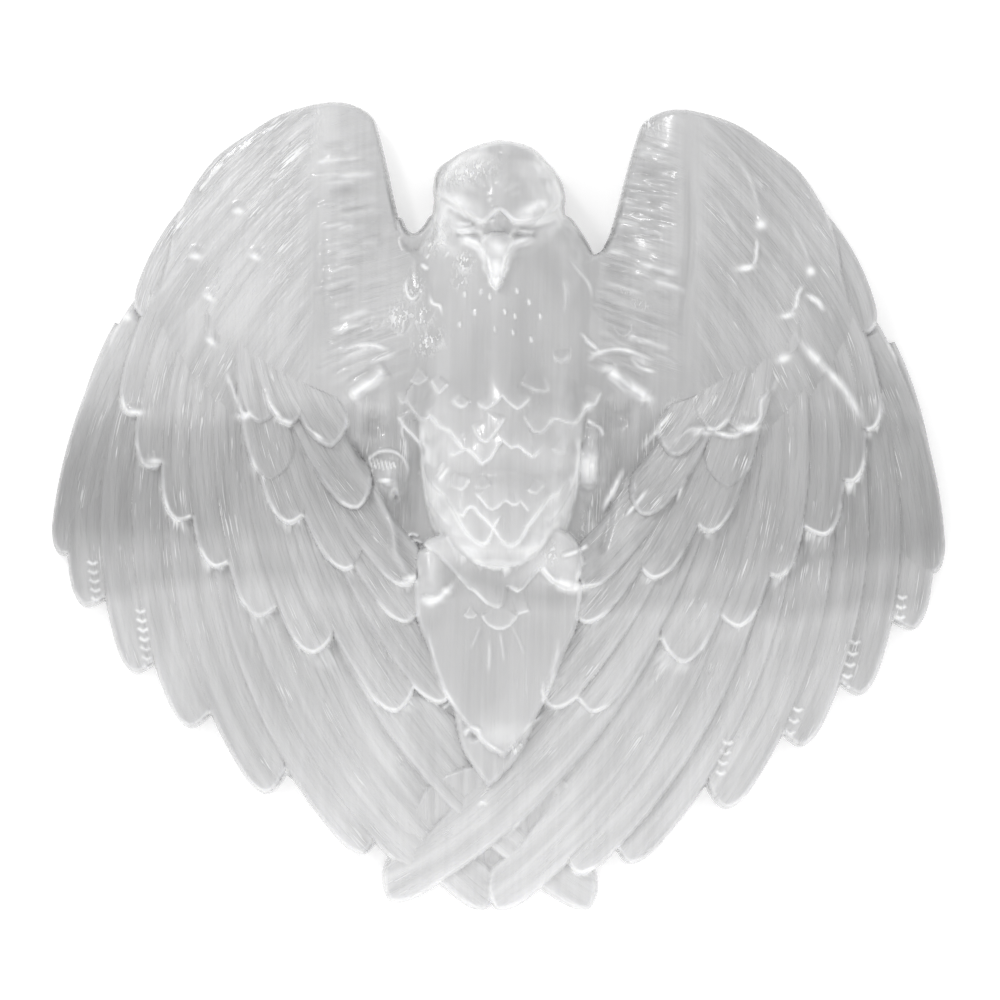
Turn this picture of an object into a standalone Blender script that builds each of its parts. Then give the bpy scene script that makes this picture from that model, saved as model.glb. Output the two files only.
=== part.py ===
"""Selenite eagle carving: one slab of fibrous stone, carved on the front and flat on the back.

The eagle lies on its back face, head towards +Y, carved side up (+Z). The origin is in the middle of
the back face. The layout is written in shares of the wing span, 150 to the span, so at the real size
one share is a millimetre. A place on a wing is (out, up): out from the middle line towards that wing's
own side, up towards the head. A place on the body is (x, up).
"""

import math

import bmesh
import bpy
from mathutils import Vector

# Driving sizes, in metres
wing_span = 0.150
rim_height = 0.0070          # stone left at the outer ends of the flight feathers
dome_height = 0.0152         # the wings' highest sweep, without the steps of the feathers
belly_height = 0.0250
head_height = 0.0262
body_side = 0.0125           # where the body's flanks meet the wings
feather_step = 0.00115       # how far one feather stands over the next
carving_depth = 0.0010       # height of the scales, brows and other small carving
root_depth = 0.0012          # every form is carried this far below the back, which is then cut flat

share = wing_span / 150
layout_lift = 0.35           # shares that the layout moves up, so that its box is centred

# The wings' swell is a shallow dome over the whole bird, in shares
dome_centre_up = 3.0
dome_reach = 76.0
dome_power = 3.0
strip_start = 31.0           # inside this the wing falls away towards the neck
strip_fall = 0.0042
strip_width = 14.0
strip_floor_up = 30.0        # the fall fades out below this
strip_fade = 22.0

# The plate under the feathers: (up, inside, outside), from the wing's top to the bottom
blank_rows = [(67.0, 26.8, 31.0), (65.0, 22.8, 38.0), (61.5, 21.4, 43.6), (57.4, 20.3, 48.9),
              (51.9, 19.0, 52.8), (47.7, 18.0, 54.8), (44.4, 16.9, 56.0), (42.4, 15.2, 56.4),
              (39.0, 8.0, 57.0), (31.0, 0.0, 60.0), (18.0, 0.0, 66.0), (2.0, 0.0, 70.5),
              (-10.0, 0.0, 68.5), (-20.0, 0.0, 62.5), (-30.0, 0.0, 53.0), (-40.0, 0.0, 42.0),
              (-50.0, 0.0, 29.0), (-57.0, 0.0, 16.0), (-61.5, 0.0, 8.0), (-66.0, 0.0, 3.2)]
blank_overlap = 3.0          # below the neck the two plates pass under each other on the middle line
blank_tuck = 0.004
blank_steps_down = 2.6       # feather steps that the plate sinks under the outer rows
blank_free = 34.0            # distance from the wrist where it starts to sink
blank_blend = 24.0

wrist = (30.0, 60.0)         # the feathers fan out from here

# Rows of the fan, outermost feather first: (swing from straight down in degrees, reach from the wrist)
flight_fan = [(31.5, 81.9), (26.1, 87.8), (18.4, 94.6), (11.6, 100.6), (4.0, 109.4), (-4.1, 119.0),
              (-8.0, 121.8), (-13.1, 130.5), (-20.5, 134.8)]
long_covert_fan = [(34.4, 55.9), (27.4, 61.7), (20.2, 67.8), (12.9, 72.8), (6.7, 79.7), (0.1, 85.1),
                   (-8.7, 95.1), (-13.0, 95.3)]
middle_covert_fan = [(27.4, 38.4), (12.1, 48.2), (7.7, 56.8), (3.9, 63.6), (-4.1, 71.3), (-11.4, 80.7)]
inner_covert_fan = [(5.5, 47.0), (-2.5, 50.6), (-6.4, 61.0), (-12.4, 74.7)]
shoulder_fan = [(45.5, 42.6)]
hand_wander = 0.25           # the two wings are cut by hand: degrees and shares that their feathers stray
# Flight feathers whose two sides differ more: swing, reach
wandering_flight = {1: (0.0, 0.5), 2: (0.0, 0.6), 3: (0.0, 0.5), 4: (0.2, 0.5), 5: (0.3, 0.3)}
side_tilt = 0.19             # steps lost for each share across a feather, from its free edge


class Row:
    """What the feathers of one row share; widths are in shares, heights in feather steps."""

    def __init__(self, fan, bend, outer, inner, tip, part, lift, fall):
        self.fan = fan
        self.bend = bend         # degrees between the chord from the wrist and the feather at its tip
        self.outer = outer       # width of the free side
        self.inner = inner       # width of the side under the next feather
        self.tip = tip           # length of the rounded tip
        self.part = part         # part of its reach that is carved, back from the tip
        self.lift = lift         # steps above the dome at the tip
        self.fall = fall         # steps lost for each share back from the tip


wing_rows = {
    "flight": Row(flight_fan, 40.0, 2.4, 5.6, 5.0, 0.50, 1.1, 0.045),
    "long_covert": Row(long_covert_fan, 30.0, 2.6, 6.0, 5.5, 0.52, 0.9, 0.060),
    "middle_covert": Row(middle_covert_fan, 30.0, 2.6, 5.5, 5.5, 0.50, 1.0, 0.072),
    "inner_covert": Row(inner_covert_fan, 38.0, 2.4, 5.0, 5.0, 0.42, 1.3, 0.110),
    "shoulder": Row(shoulder_fan, 36.0, 2.4, 8.0, 4.5, 0.50, 0.6, 0.080),
}
outermost_bend = 30.0        # the first flight feather hangs straighter than the rest
crossing_feathers = 3        # innermost flight feathers of the right wing, which lie over the left wing's
crossing_lift = 0.9

# Body and head: (up, half width, share of the crest height above the flanks)
arch_fullness = 0.72
trunk_rows = [(46.5, 12.6, 0.74), (40.0, 15.4, 0.74), (34.0, 17.0, 0.72), (28.0, 16.4, 0.74), (22.0, 15.0, 0.80),
              (16.0, 14.0, 0.88), (10.0, 13.4, 0.96), (4.0, 12.8, 1.0), (-2.0, 11.2, 0.94), (-6.0, 8.6, 0.80),
              (-9.4, 4.4, 0.50)]
head_rows = [(60.4, 1.6, 0.30), (58.8, 6.0, 0.60), (56.3, 8.9, 0.82), (53.0, 10.4, 0.95), (49.0, 10.9, 1.0),
             (45.0, 11.4, 0.92), (41.0, 10.0, 0.74)]
head_turn = -1.2             # the head sits this far to one side of the middle line
round_section = [-1.0, -0.9, -0.62, -0.3, 0.0, 0.3, 0.62, 0.9, 1.0]

# Scales on the breast: the rows' lower edges, top row first
scale_rows = [20.5, 16.6, 12.6, 8.6, 4.2, 0.0, -4.4, -8.6]
scale_pitch = 5.6
scale_length = 8.0
scale_half_width = 2.9
ridge_foot = 0.4             # the edge of a raised bar starts this far under the stone, in carving depths

# Short feathers under the belly: (x, up at the tip, half width, length, steps above the wings)
apron_feathers = [(-0.6, -20.2, 4.2, 9.0, 2.0), (-0.4, -16.8, 3.6, 8.0, 3.0), (-5.0, -14.6, 4.2, 8.0, 3.6),
                  (3.4, -14.2, 3.8, 8.0, 3.9)]

# The tail's two layers: (up, x of the middle, half width)
lower_tail = [(-46.2, -0.8, 0.0), (-44.2, -0.6, 2.0), (-40.5, -0.4, 4.6), (-35.0, 0.0, 6.4), (-28.0, 0.0, 7.0)]
upper_tail = [(-41.3, 1.4, 0.0), (-39.2, 0.9, 2.6), (-35.6, 0.4, 5.6), (-30.9, 0.0, 8.4), (-24.0, 0.0, 11.0),
              (-18.5, 0.0, 13.2), (-12.0, 0.0, 13.4), (-7.0, 0.0, 11.0)]
lower_tail_steps = 1.0
upper_tail_steps = 2.2

# Raised bars and knobs, one on each side: (start, end, half width, rise in carving depths). The brows
# stand on the head, out from its own middle.
brow_ridge = ((10.2, 52.4), (1.4, 47.2), 2.0, 1.2)
limb_ridges = {
    "bar": ((25.2, 17.4), (17.6, 23.2), 1.3, 2.0),
    "knob": ((20.4, 6.6), (13.6, 6.6), 3.4, 3.4),
    "leg": ((18.6, 5.0), (13.0, -12.0), 2.2, 2.4),
    "thigh": ((10.6, 2.3), (7.2, -14.7), 3.8, 4.6),
    "foot": ((15.2, -12.2), (7.6, -13.4), 3.0, 3.6),
}

# The beak: (up, half width, rise in carving depths), from its tip to the brows
beak_rows = [(36.2, 0.3, 0.15), (38.6, 1.5, 0.9), (41.4, 2.4, 1.7), (44.2, 3.4, 2.2), (46.4, 2.4, 2.0),
             (49.0, 1.4, 1.0)]
beak_side = 0.2              # share of the rise that is left at the beak's sides
beak_sink = 0.5              # and what the sides sink, in carving depths


def clamp(value, low=0.0, high=1.0):
    return max(low, min(high, value))


def ease(value):
    """Smooth step from 0 to 1."""
    value = clamp(value)
    return value * value * (3 - 2 * value)


def between(rows, up, column):
    """Value of a column of rows, at a height between them; rows run downwards."""
    for upper, lower in zip(rows, rows[1:]):
        if up >= lower[0]:
            part = clamp((upper[0] - up) / (upper[0] - lower[0]))
            return upper[column] + (lower[column] - upper[column]) * part
    return rows[-1][column]


def swell(out, up):
    """Height of the wings' smooth sweep over a place."""
    distance = min(math.hypot(out, up - dome_centre_up) / dome_reach, 1.06)
    height = rim_height + (dome_height - rim_height) * (1 - distance ** dome_power)
    inward = clamp((strip_start - abs(out)) / strip_width)
    high = ease((up - strip_floor_up) / strip_fade)
    return height - strip_fall * inward * high


def rounded(rows, crest, x, up):
    """Height of the body or the head, an arch over its half width."""
    half = between(rows, up, 1)
    top = (crest - body_side) * between(rows, up, 2)
    return body_side + top * (1 - clamp(abs(x) / half) ** 2) ** arch_fullness


def body_height(x, up):
    return max(rounded(trunk_rows, belly_height, x, up), rounded(head_rows, head_height, x - head_turn, up))


def lean(angle):
    """Unit vector turned outwards from straight down."""
    return Vector((math.sin(angle), -math.cos(angle)))


class Feather:
    """A feather's spine is an arc that ends at its tip; a place on it is (back, across)."""

    def __init__(self, tip, heading=0.0, bend_rate=0.0):
        self.tip = Vector(tip)
        self.heading = heading
        self.rate = bend_rate

    def place(self, back, across):
        angle = self.heading + self.rate * back
        if self.rate:
            turn = Vector((math.cos(self.heading) - math.cos(angle), math.sin(self.heading) - math.sin(angle)))
            spine = self.tip - turn / self.rate
        else:
            spine = self.tip - lean(angle) * back
        return spine + Vector((math.cos(angle), math.sin(angle))) * across


def fan_feather(swing, reach, bend):
    swing, bend = math.radians(swing), math.radians(bend)
    arc_length = reach * bend / math.sin(bend)
    return Feather(Vector(wrist) + lean(swing) * reach, swing - bend, 2 * bend / arc_length)


def round_end(back, length):
    """Share of the full width at a distance back from a rounded tip."""
    return math.sqrt(max(0.0, 1 - max(0.0, 1 - back / length) ** 2))


def spot(x, up, height):
    return (x * share, (up + layout_lift) * share, height)


def strip(builder, first, second):
    """Faces between two rings of points, either of which may be a single point."""
    for i in range(max(len(first), len(second)) - 1):
        corners = [first[min(i, len(first) - 1)], second[min(i, len(second) - 1)]]
        if len(second) > 1:
            corners.append(second[i + 1])
        if len(first) > 1:
            corners.append(first[i + 1])
        builder.faces.new(corners)


def slab(name, rings):
    """Solid with its top through rings of points and its foot below the back; a ring of one is a tip."""
    builder = bmesh.new()
    top = [[builder.verts.new(point) for point in ring] for ring in rings]
    foot = [[builder.verts.new((point[0], point[1], -root_depth)) for point in ring] for ring in rings]
    for layer in (top, foot):
        for first, second in zip(layer, layer[1:]):
            strip(builder, first, second)
    last = len(rings) - 1
    rim = [(j, 0) for j in range(last)]
    rim += [(last, i) for i in range(len(rings[last]))]
    rim += [(j, len(rings[j]) - 1) for j in range(last - 1, 0, -1)]
    rim += [(0, i) for i in range(len(rings[0]) - 1, 0, -1)]
    for (j, i), (m, n) in zip(rim, rim[1:] + rim[:1]):
        builder.faces.new((top[j][i], top[m][n], foot[m][n], foot[j][i]))
    bmesh.ops.recalc_face_normals(builder, faces=builder.faces)
    mesh = bpy.data.meshes.new(name)
    builder.to_mesh(mesh)
    builder.free()
    item = bpy.data.objects.new(name, mesh)
    item.hide_render = True
    item.display_type = "WIRE"
    forms.objects.link(item)
    return item


def wing_feather(name, feather, row, side, length, lift):
    stations = [0.0, row.tip * 0.18, row.tip * 0.55, row.tip, (row.tip + length) / 2, length]
    rings = []
    for back in stations:
        width = round_end(back, row.tip)
        ring = []
        for across in (row.outer * width, 0.0, -row.inner * width) if back else (0.0,):
            out, up = feather.place(back, across)
            steps = lift - row.fall * back - side_tilt * (row.outer - across)
            ring.append(spot(side * out, up, swell(out, up) + feather_step * steps))
        rings.append(ring)
    return slab(name, rings)


def wing_blank(name, side):
    """The plate that the feathers stand on, from the wing's top to the bottom."""
    rings = []
    for up, inside, outside in blank_rows:
        ring = []
        for part in (0.0, 0.15, 0.35, 0.6, 0.85, 1.0):
            out = inside + (outside - inside) * part
            distance = math.hypot(out - wrist[0], up - wrist[1])
            steps = -blank_steps_down * ease((distance - blank_free) / blank_blend)
            height = swell(out, up) + feather_step * steps
            if out == 0.0:
                out = -blank_overlap
                height -= blank_tuck
            ring.append(spot(side * out, up, height))
        rings.append(ring)
    return slab(name, rings)


def arch(name, rows, crest, middle):
    """Body or head: a ring of points over each row, rising from the flanks to the crest."""
    rings = []
    for up, half, rise in rows:
        rings.append([spot(middle + part * half, up, rounded(rows, crest, part * half, up))
                      for part in round_section])
    return slab(name, rings)


def scale(name, x, up, half, length, height):
    """Short feather pointing straight down; height gives the stone under a place on it."""
    feather = Feather((x, up))
    rings = []
    for back in (0.0, length * 0.12, length * 0.4, length):
        width = half * round_end(back, length * 0.5)
        ring = []
        for across in (-width, 0.0, width) if back else (0.0,):
            place = feather.place(back, across)
            steps = 1.0 - 1.5 * back / length - 0.25 * abs(across) / half
            ring.append(spot(place.x, place.y, height(place.x, place.y) + carving_depth * steps))
        rings.append(ring)
    return slab(name, rings)


def ridge(name, start, end, half, rise, height, sections=6):
    """Raised bar or knob between two places, rounded at both ends and across."""
    start, end = Vector(start), Vector(end)
    run = (end - start).normalized()
    sideways = Vector((-run.y, run.x))
    rings = []
    for step in range(sections + 1):
        part = 0.5 - 0.5 * math.cos(math.pi * step / sections)
        full = math.sqrt(max(0.0, 1 - (2 * part - 1) ** 2))
        ring = []
        for across in (-1.0, -0.5, 0.0, 0.5, 1.0) if 0 < step < sections else (0.0,):
            place = start + (end - start) * part + sideways * half * full * across
            crown = rise * full ** 0.5 * (1 - across ** 2) ** 0.5 - ridge_foot
            ring.append(spot(place.x, place.y, height(place.x, place.y) + carving_depth * crown))
        rings.append(ring)
    return slab(name, rings)


def tail_layer(name, rows, steps):
    rings = []
    for up, middle, half in rows:
        ring = []
        for part in (-1.0, -0.5, 0.0, 0.5, 1.0) if half else (0.0,):
            x = middle + part * half
            fall = (up - rows[0][0]) / (rows[-1][0] - rows[0][0])
            height = swell(x, up) + feather_step * (steps - 0.5 * part * part - 0.8 * fall)
            ring.append(spot(x, up, height))
        rings.append(ring)
    return slab(name, rings)


for item in list(bpy.data.objects):
    bpy.data.objects.remove(item, do_unlink=True)
forms = bpy.data.collections.new("forms")
bpy.context.scene.collection.children.link(forms)

for side, word in ((-1, "left"), (1, "right")):
    wing_blank("blank_" + word, side)
    for row_name, row in wing_rows.items():
        for i, (swing, reach) in enumerate(row.fan):
            bend = row.bend
            lift = row.lift
            if row_name == "flight" and i == 0:
                bend = outermost_bend
            if row_name == "flight" and side > 0 and i >= len(row.fan) - crossing_feathers:
                lift += crossing_lift
            stray = hand_wander * math.sin(2.3 * i + len(row_name))
            turn, stretch = wandering_flight.get(i, (stray, stray)) if row_name == "flight" else (stray, stray)
            feather = fan_feather(swing + side * turn, reach + side * stretch, bend)
            wing_feather("%s_%s_%d" % (row_name, word, i), feather, row, side, reach * row.part, lift)

arch("trunk", trunk_rows, belly_height, 0.0)
arch("head", head_rows, head_height, head_turn)
for j, up in enumerate(scale_rows):
    room = between(trunk_rows, up, 1) - 1.5
    places = [scale_pitch * (i + 0.5 * (j % 2)) for i in range(-3, 4)]
    for i, x in enumerate(x for x in places if abs(x) < room):
        scale("scale_%d_%d" % (j, i), x, up, scale_half_width, scale_length, body_height)
for i, (x, up, half, length, steps) in enumerate(apron_feathers):
    scale("apron_%d" % i, x, up, half, length, lambda px, pu: swell(px, pu) + feather_step * steps)
tail_layer("tail_low", lower_tail, lower_tail_steps)
tail_layer("tail_high", upper_tail, upper_tail_steps)

# Brows, beak, and the small forms of the legs and feet
for side in (-1, 1):
    start, end, half, rise = brow_ridge
    ridge("brow_%d" % side, (head_turn + side * start[0], start[1]), (head_turn + side * end[0], end[1]),
          half, rise, body_height)
    for name, (start, end, half, rise) in limb_ridges.items():
        ridge("%s_%d" % (name, side), (side * start[0], start[1]), (side * end[0], end[1]), half, rise, swell)
beak_rings = []
for up, half, rise in beak_rows:
    beak_rings.append([spot(head_turn + part * half, up, body_height(head_turn, up)
                            + carving_depth * (rise * beak_side - beak_sink if part else rise))
                       for part in (-1.0, 0.0, 1.0)])
slab("beak", beak_rings)

body = bpy.data.objects["trunk"]
forms.objects.unlink(body)
bpy.context.scene.collection.objects.link(body)
body.name = "eagle_carving"
body.hide_render = False
body.display_type = "TEXTURED"

joined = body.modifiers.new("joined", "BOOLEAN")
joined.operation = "UNION"
joined.solver = "EXACT"
joined.operand_type = "COLLECTION"
joined.collection = forms

bpy.ops.mesh.primitive_cube_add(size=1.0, location=(0.0, 0.0, -wing_span / 2))
under = bpy.context.object
under.name = "under_the_back"
under.scale = (wing_span * 2, wing_span * 2, wing_span)
under.hide_render = True
under.display_type = "WIRE"
flat_back = body.modifiers.new("flat_back", "BOOLEAN")
flat_back.operation = "DIFFERENCE"
flat_back.solver = "EXACT"
flat_back.object = under

stone = bpy.data.materials.new("selenite")
stone.use_nodes = True
shader = stone.node_tree.nodes["Principled BSDF"]
shader.inputs["Base Color"].default_value = (0.72, 0.73, 0.74, 1.0)
shader.inputs["Roughness"].default_value = 0.28
shader.inputs["Metallic"].default_value = 0.0
body.data.materials.append(stone)
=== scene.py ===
import math

import bpy
import numpy as np
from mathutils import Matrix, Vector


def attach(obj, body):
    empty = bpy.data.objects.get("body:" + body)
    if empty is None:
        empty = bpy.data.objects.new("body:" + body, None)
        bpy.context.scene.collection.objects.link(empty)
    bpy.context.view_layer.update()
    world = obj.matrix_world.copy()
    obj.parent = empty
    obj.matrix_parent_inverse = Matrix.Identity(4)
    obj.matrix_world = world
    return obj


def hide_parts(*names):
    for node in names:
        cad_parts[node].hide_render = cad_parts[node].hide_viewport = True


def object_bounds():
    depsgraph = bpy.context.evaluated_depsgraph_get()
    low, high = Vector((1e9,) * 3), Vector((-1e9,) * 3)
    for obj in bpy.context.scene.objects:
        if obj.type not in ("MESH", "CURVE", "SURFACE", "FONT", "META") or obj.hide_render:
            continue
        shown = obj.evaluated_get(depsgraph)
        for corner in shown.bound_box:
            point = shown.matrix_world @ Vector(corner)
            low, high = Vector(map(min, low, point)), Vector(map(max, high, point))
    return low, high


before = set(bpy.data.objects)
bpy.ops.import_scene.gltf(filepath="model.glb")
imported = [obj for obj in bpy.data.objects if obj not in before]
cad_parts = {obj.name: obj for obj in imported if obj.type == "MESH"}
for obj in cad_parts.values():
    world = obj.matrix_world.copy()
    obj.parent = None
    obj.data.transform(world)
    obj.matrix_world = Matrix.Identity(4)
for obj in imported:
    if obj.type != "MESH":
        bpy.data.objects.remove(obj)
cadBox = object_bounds()
print("frame loaded")

mm = 0.001

# The carved side is worked out as one sheet of heights, in millimetres. A place is (x, up), up towards
# the head. The small carving is placed by the picture, in its pixels, through onStone.
slab = {
    "cell": 0.25,                 # spacing of the sheet
    "halfWide": 75.25,
    "halfHigh": 67.75,
    "lift": 0.35,                 # the middle of the layout lies this far above the origin
    "pixel": 0.1672,              # millimetres to a pixel of the picture
    "pictureMiddle": (500.5, 510.5),
    "pictureTurn": 1.2,           # degrees that the carving is turned in the picture
    "foot": -12.0,                # the sheet ends below the back, which is then cut flat
    "roll": 0.45,                 # rounding of a carved edge
    "slope": 2.6,                 # slope of a carved step
    "ledge": 0.3,                 # width of a step before it drops straight down
    "wall": 26.0,                 # slope of the drop
    "triangles": 190000,
    "below": 0.02,                # the carving ends this far under the top of the CAD box
}

columns = int(2 * slab["halfWide"] / slab["cell"]) + 1
rows = int(2 * slab["halfHigh"] / slab["cell"]) + 1
gridX, gridUp = np.meshgrid(np.linspace(-slab["halfWide"], slab["halfWide"], columns),
                            np.linspace(-slab["halfHigh"], slab["halfHigh"], rows) - slab["lift"])
height = np.full(gridX.shape, slab["foot"])
owner = np.zeros(gridX.shape, dtype=int)      # which feather is on top, 0 where there is none
paintedHighlight = np.zeros(gridX.shape)              # painted highlight: raised lines and steps made whiter where they would catch the light
stepHighlightGain = np.ones(gridX.shape)               # the painted highlight on a feather's step is brightest round its tip
paintedGlints = np.zeros(gridX.shape)               # patches of painted glints: fine bright hairlines
feathers = [None]


def onStone(px, py):
    # a place of the picture, in millimetres on the stone
    a, b = px - slab["pictureMiddle"][0], slab["pictureMiddle"][1] - py
    turn = math.radians(slab["pictureTurn"])
    return (slab["pixel"] * (a * math.cos(turn) - b * math.sin(turn)),
            slab["pixel"] * (a * math.sin(turn) + b * math.cos(turn)))


def traced(places):
    return [onStone(px, py) for px, py in places]


def ease(value):
    value = np.clip(value, 0.0, 1.0)
    return value * value * (3 - 2 * value)


def along(table, up, column, soften=1.8):
    # a column of a table whose rows run down from the head, softened where the rows meet
    ups = [row[0] for row in table][::-1]
    values = [row[column] for row in table][::-1]
    return sum(np.interp(up + soften * shift, ups, values) for shift in (-1.0, -0.5, 0.0, 0.5, 1.0)) / 5


def area(places, margin):
    # the part of the sheet within a margin of some places
    xs, ups = [p[0] for p in places], [p[1] for p in places]
    left = int((min(xs) - margin + slab["halfWide"]) / slab["cell"])
    right = int((max(xs) + margin + slab["halfWide"]) / slab["cell"]) + 2
    low = int((min(ups) - margin + slab["halfHigh"] + slab["lift"]) / slab["cell"])
    high = int((max(ups) + margin + slab["halfHigh"] + slab["lift"]) / slab["cell"]) + 2
    return slice(max(low, 0), min(high, rows)), slice(max(left, 0), min(right, columns))


def softLine(places, closed=False, steps=5):
    # a smooth line through places, or a smooth outline
    places = [np.array(p, dtype=float) for p in places]
    count = len(places)
    line = []
    for i in range(count if closed else count - 1):
        if closed:
            a, b, c, d = (places[(i + k) % count] for k in (-1, 0, 1, 2))
        else:
            a, b, c, d = places[max(i - 1, 0)], places[i], places[i + 1], places[min(i + 2, count - 1)]
        for t in np.arange(steps) / steps:
            line.append(0.5 * (2 * b + (c - a) * t + (2 * a - 5 * b + 4 * c - d) * t * t
                               + (3 * b - a - 3 * c + d) * t ** 3))
    if not closed:
        line.append(places[-1])
    return np.array(line)


def lineDistance(x, up, line, closed=False):
    # distance to a line of places, and the share of its length where it is nearest
    best = np.full(x.shape, 1e6)
    share = np.zeros(x.shape)
    ends = np.roll(line, -1, axis=0) if closed else line[1:]
    starts = line if closed else line[:-1]
    lengths = np.hypot(*(ends - starts).T)
    total, done = lengths.sum(), 0.0
    for start, end, length in zip(starts, ends, lengths):
        run = (end - start) / max(length, 1e-9)
        t = np.clip((x - start[0]) * run[0] + (up - start[1]) * run[1], 0, length)
        away = np.hypot(x - start[0] - run[0] * t, up - start[1] - run[1] * t)
        nearer = away < best
        best = np.where(nearer, away, best)
        share = np.where(nearer, (done + t) / total, share)
        done += length
    return best, share


def insideDistance(x, up, outline):
    # distance from an outline, more than 0 inside it
    away, share = lineDistance(x, up, outline, closed=True)
    inside = np.zeros(x.shape, dtype=bool)
    for start, end in zip(outline, np.roll(outline, -1, axis=0)):
        if start[1] == end[1]:
            continue
        crosses = (start[1] > up) != (end[1] > up)
        inside ^= crosses & (x < (end[0] - start[0]) * (up - start[1]) / (end[1] - start[1]) + start[0])
    return np.where(inside, away, -away)


def edgeDrop(distance, sharp=1.0):
    # how far a form's edge has dropped: rounded over, down a short slope, then straight down
    inner = np.clip(slab["roll"] - distance, 0, slab["roll"])
    outer = np.maximum(-distance, 0)
    gentle = slab["slope"] * sharp * (inner ** 2 / (2 * slab["roll"]) + np.minimum(outer, slab["ledge"]))
    return gentle + slab["wall"] * np.maximum(outer - slab["ledge"], 0)


def lay(where, values, number=0, soft=0.0):
    # puts a form over what is carved already; soft blends the two where they meet
    old = height[where]
    over = values > old
    joined = np.maximum(values, old)
    if soft:
        near = np.maximum(soft - np.abs(values - old), 0) / soft
        joined = joined + near * near * soft / 4
    height[where] = np.maximum(joined, slab["foot"])
    owner[where] = np.where(over, number, owner[where])


def ridge(places, width, rise, soft=True, taper=0.35, shine=0.75):
    # raised line, or a cut one where rise is less than 0, thinner towards its ends
    line = softLine(places) if soft else np.array(places, dtype=float)
    where = area(line, width * 3)
    away, share = lineDistance(gridX[where], gridUp[where], line)
    crest = ease(share / taper) * ease((1 - share) / taper) * np.exp(-(away / width) ** 2)
    height[where] += rise * crest
    # a raised line gets a painted highlight along its crest
    if rise > 0:
        paintedHighlight[where] = np.maximum(paintedHighlight[where], shine * crest)


def ridges(lines, taper=0.35, shine=0.75):
    # lines by the picture: places, width, rise, and shine where it differs
    for places, width, rise, *own in lines:
        ridge(traced(places), width, rise, taper=taper, shine=own[0] if own else shine)


def rounded(where, x, up, wide, high, turn=0.0):
    # 1 at a place and 0 well away from it, over an ellipse
    dx, dy = gridX[where] - x, gridUp[where] - up
    c, s = math.cos(turn), math.sin(turn)
    return np.exp(-((dx * c + dy * s) / wide) ** 2 - ((dy * c - dx * s) / high) ** 2)


def bump(x, up, wide, high, rise, shine=0.3):
    where = area([(x, up)], max(wide, high) * 3)
    hump = rounded(where, x, up, wide, high)
    height[where] += rise * hump
    # a raised bump gets a painted highlight
    if rise > 0:
        paintedHighlight[where] = np.maximum(paintedHighlight[where], shine * hump)


def bumps(places):
    # knobs and hollows by the picture: place, half width and half height in millimetres, rise
    for px, py, wide, high, rise in places:
        bump(*onStone(px, py), wide, high, rise)


def patches(mask, places):
    # soft patches on a mask, by the picture: place, half length, half width, strength, turn from level
    for px, py, long, wide, strength, turn in places:
        x, up = onStone(px, py)
        long, wide = long * slab["pixel"], wide * slab["pixel"]
        where = area([(x, up)], max(long, wide) * 3)
        soft = strength * rounded(where, x, up, long, wide, math.radians(turn))
        mask[where] = np.maximum(mask[where], soft)


scaleEdge = {
    "taper": 0.10,                # share of the edge's length that fades at each end
    "start": 0.4,                 # the rise starts this far in front of the edge
    "run": 0.45,                  # and is full after this
    "line": (0.15, 0.24),         # the painted highlight line along the edge: place in front of it, half width
    "softHighlight": (0.2, 0.3, 1.1),      # the fainter painted highlight behind it: strength, start, reach
}


def stepLines(edges, reach=2.2):
    # edges of rows of scales by the picture, as places, rise and shine: what lies above one stands
    # over what lies below
    taper, (front, half) = scaleEdge["taper"], scaleEdge["line"]
    softHighlight, hazeStart, hazeReach = scaleEdge["softHighlight"]
    for places, rise, shine in edges:
        line = np.array(traced(places))
        where = area(line, reach * 3)
        x, up = gridX[where], gridUp[where]
        away, share = lineDistance(x, up, line)
        side = np.where(up > np.interp(x, line[:, 0], line[:, 1]), away, -away)
        behind = np.maximum(side, 0)
        ends = ease(share / taper) * ease((1 - share) / taper)
        risen = ease((side + scaleEdge["start"]) / scaleEdge["run"])
        height[where] += rise * ends * risen * np.exp(-behind / reach)
        # a painted highlight along the edge, and a fainter painted highlight behind it
        bright = np.exp(-((side + front) / half) ** 2)
        bright += softHighlight * ease(side / hazeStart) * np.exp(-behind / hazeReach)
        paintedHighlight[where] = np.maximum(paintedHighlight[where], shine * ends * np.minimum(bright, 1))


def plate(outline, base, soft=0.0, sharp=1.0):
    # a form with its own outline; base gives its height over (x, up)
    line = softLine(outline, closed=True, steps=4)
    where = area(line, 3.0)
    x, up = gridX[where], gridUp[where]
    lay(where, base(x, up) - edgeDrop(insideDistance(x, up, line), sharp), soft=soft)


def sampled(values, x, up):
    # a mask or height of the sheet at any place
    column = np.clip((x + slab["halfWide"]) / slab["cell"], 0, columns - 1.001)
    row = np.clip((up + slab["lift"] + slab["halfHigh"]) / slab["cell"], 0, rows - 1.001)
    i, j = row.astype(int), column.astype(int)
    u, v = row - i, column - j
    return ((1 - u) * ((1 - v) * values[i, j] + v * values[i, j + 1])
            + u * ((1 - v) * values[i + 1, j] + v * values[i + 1, j + 1]))


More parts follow.
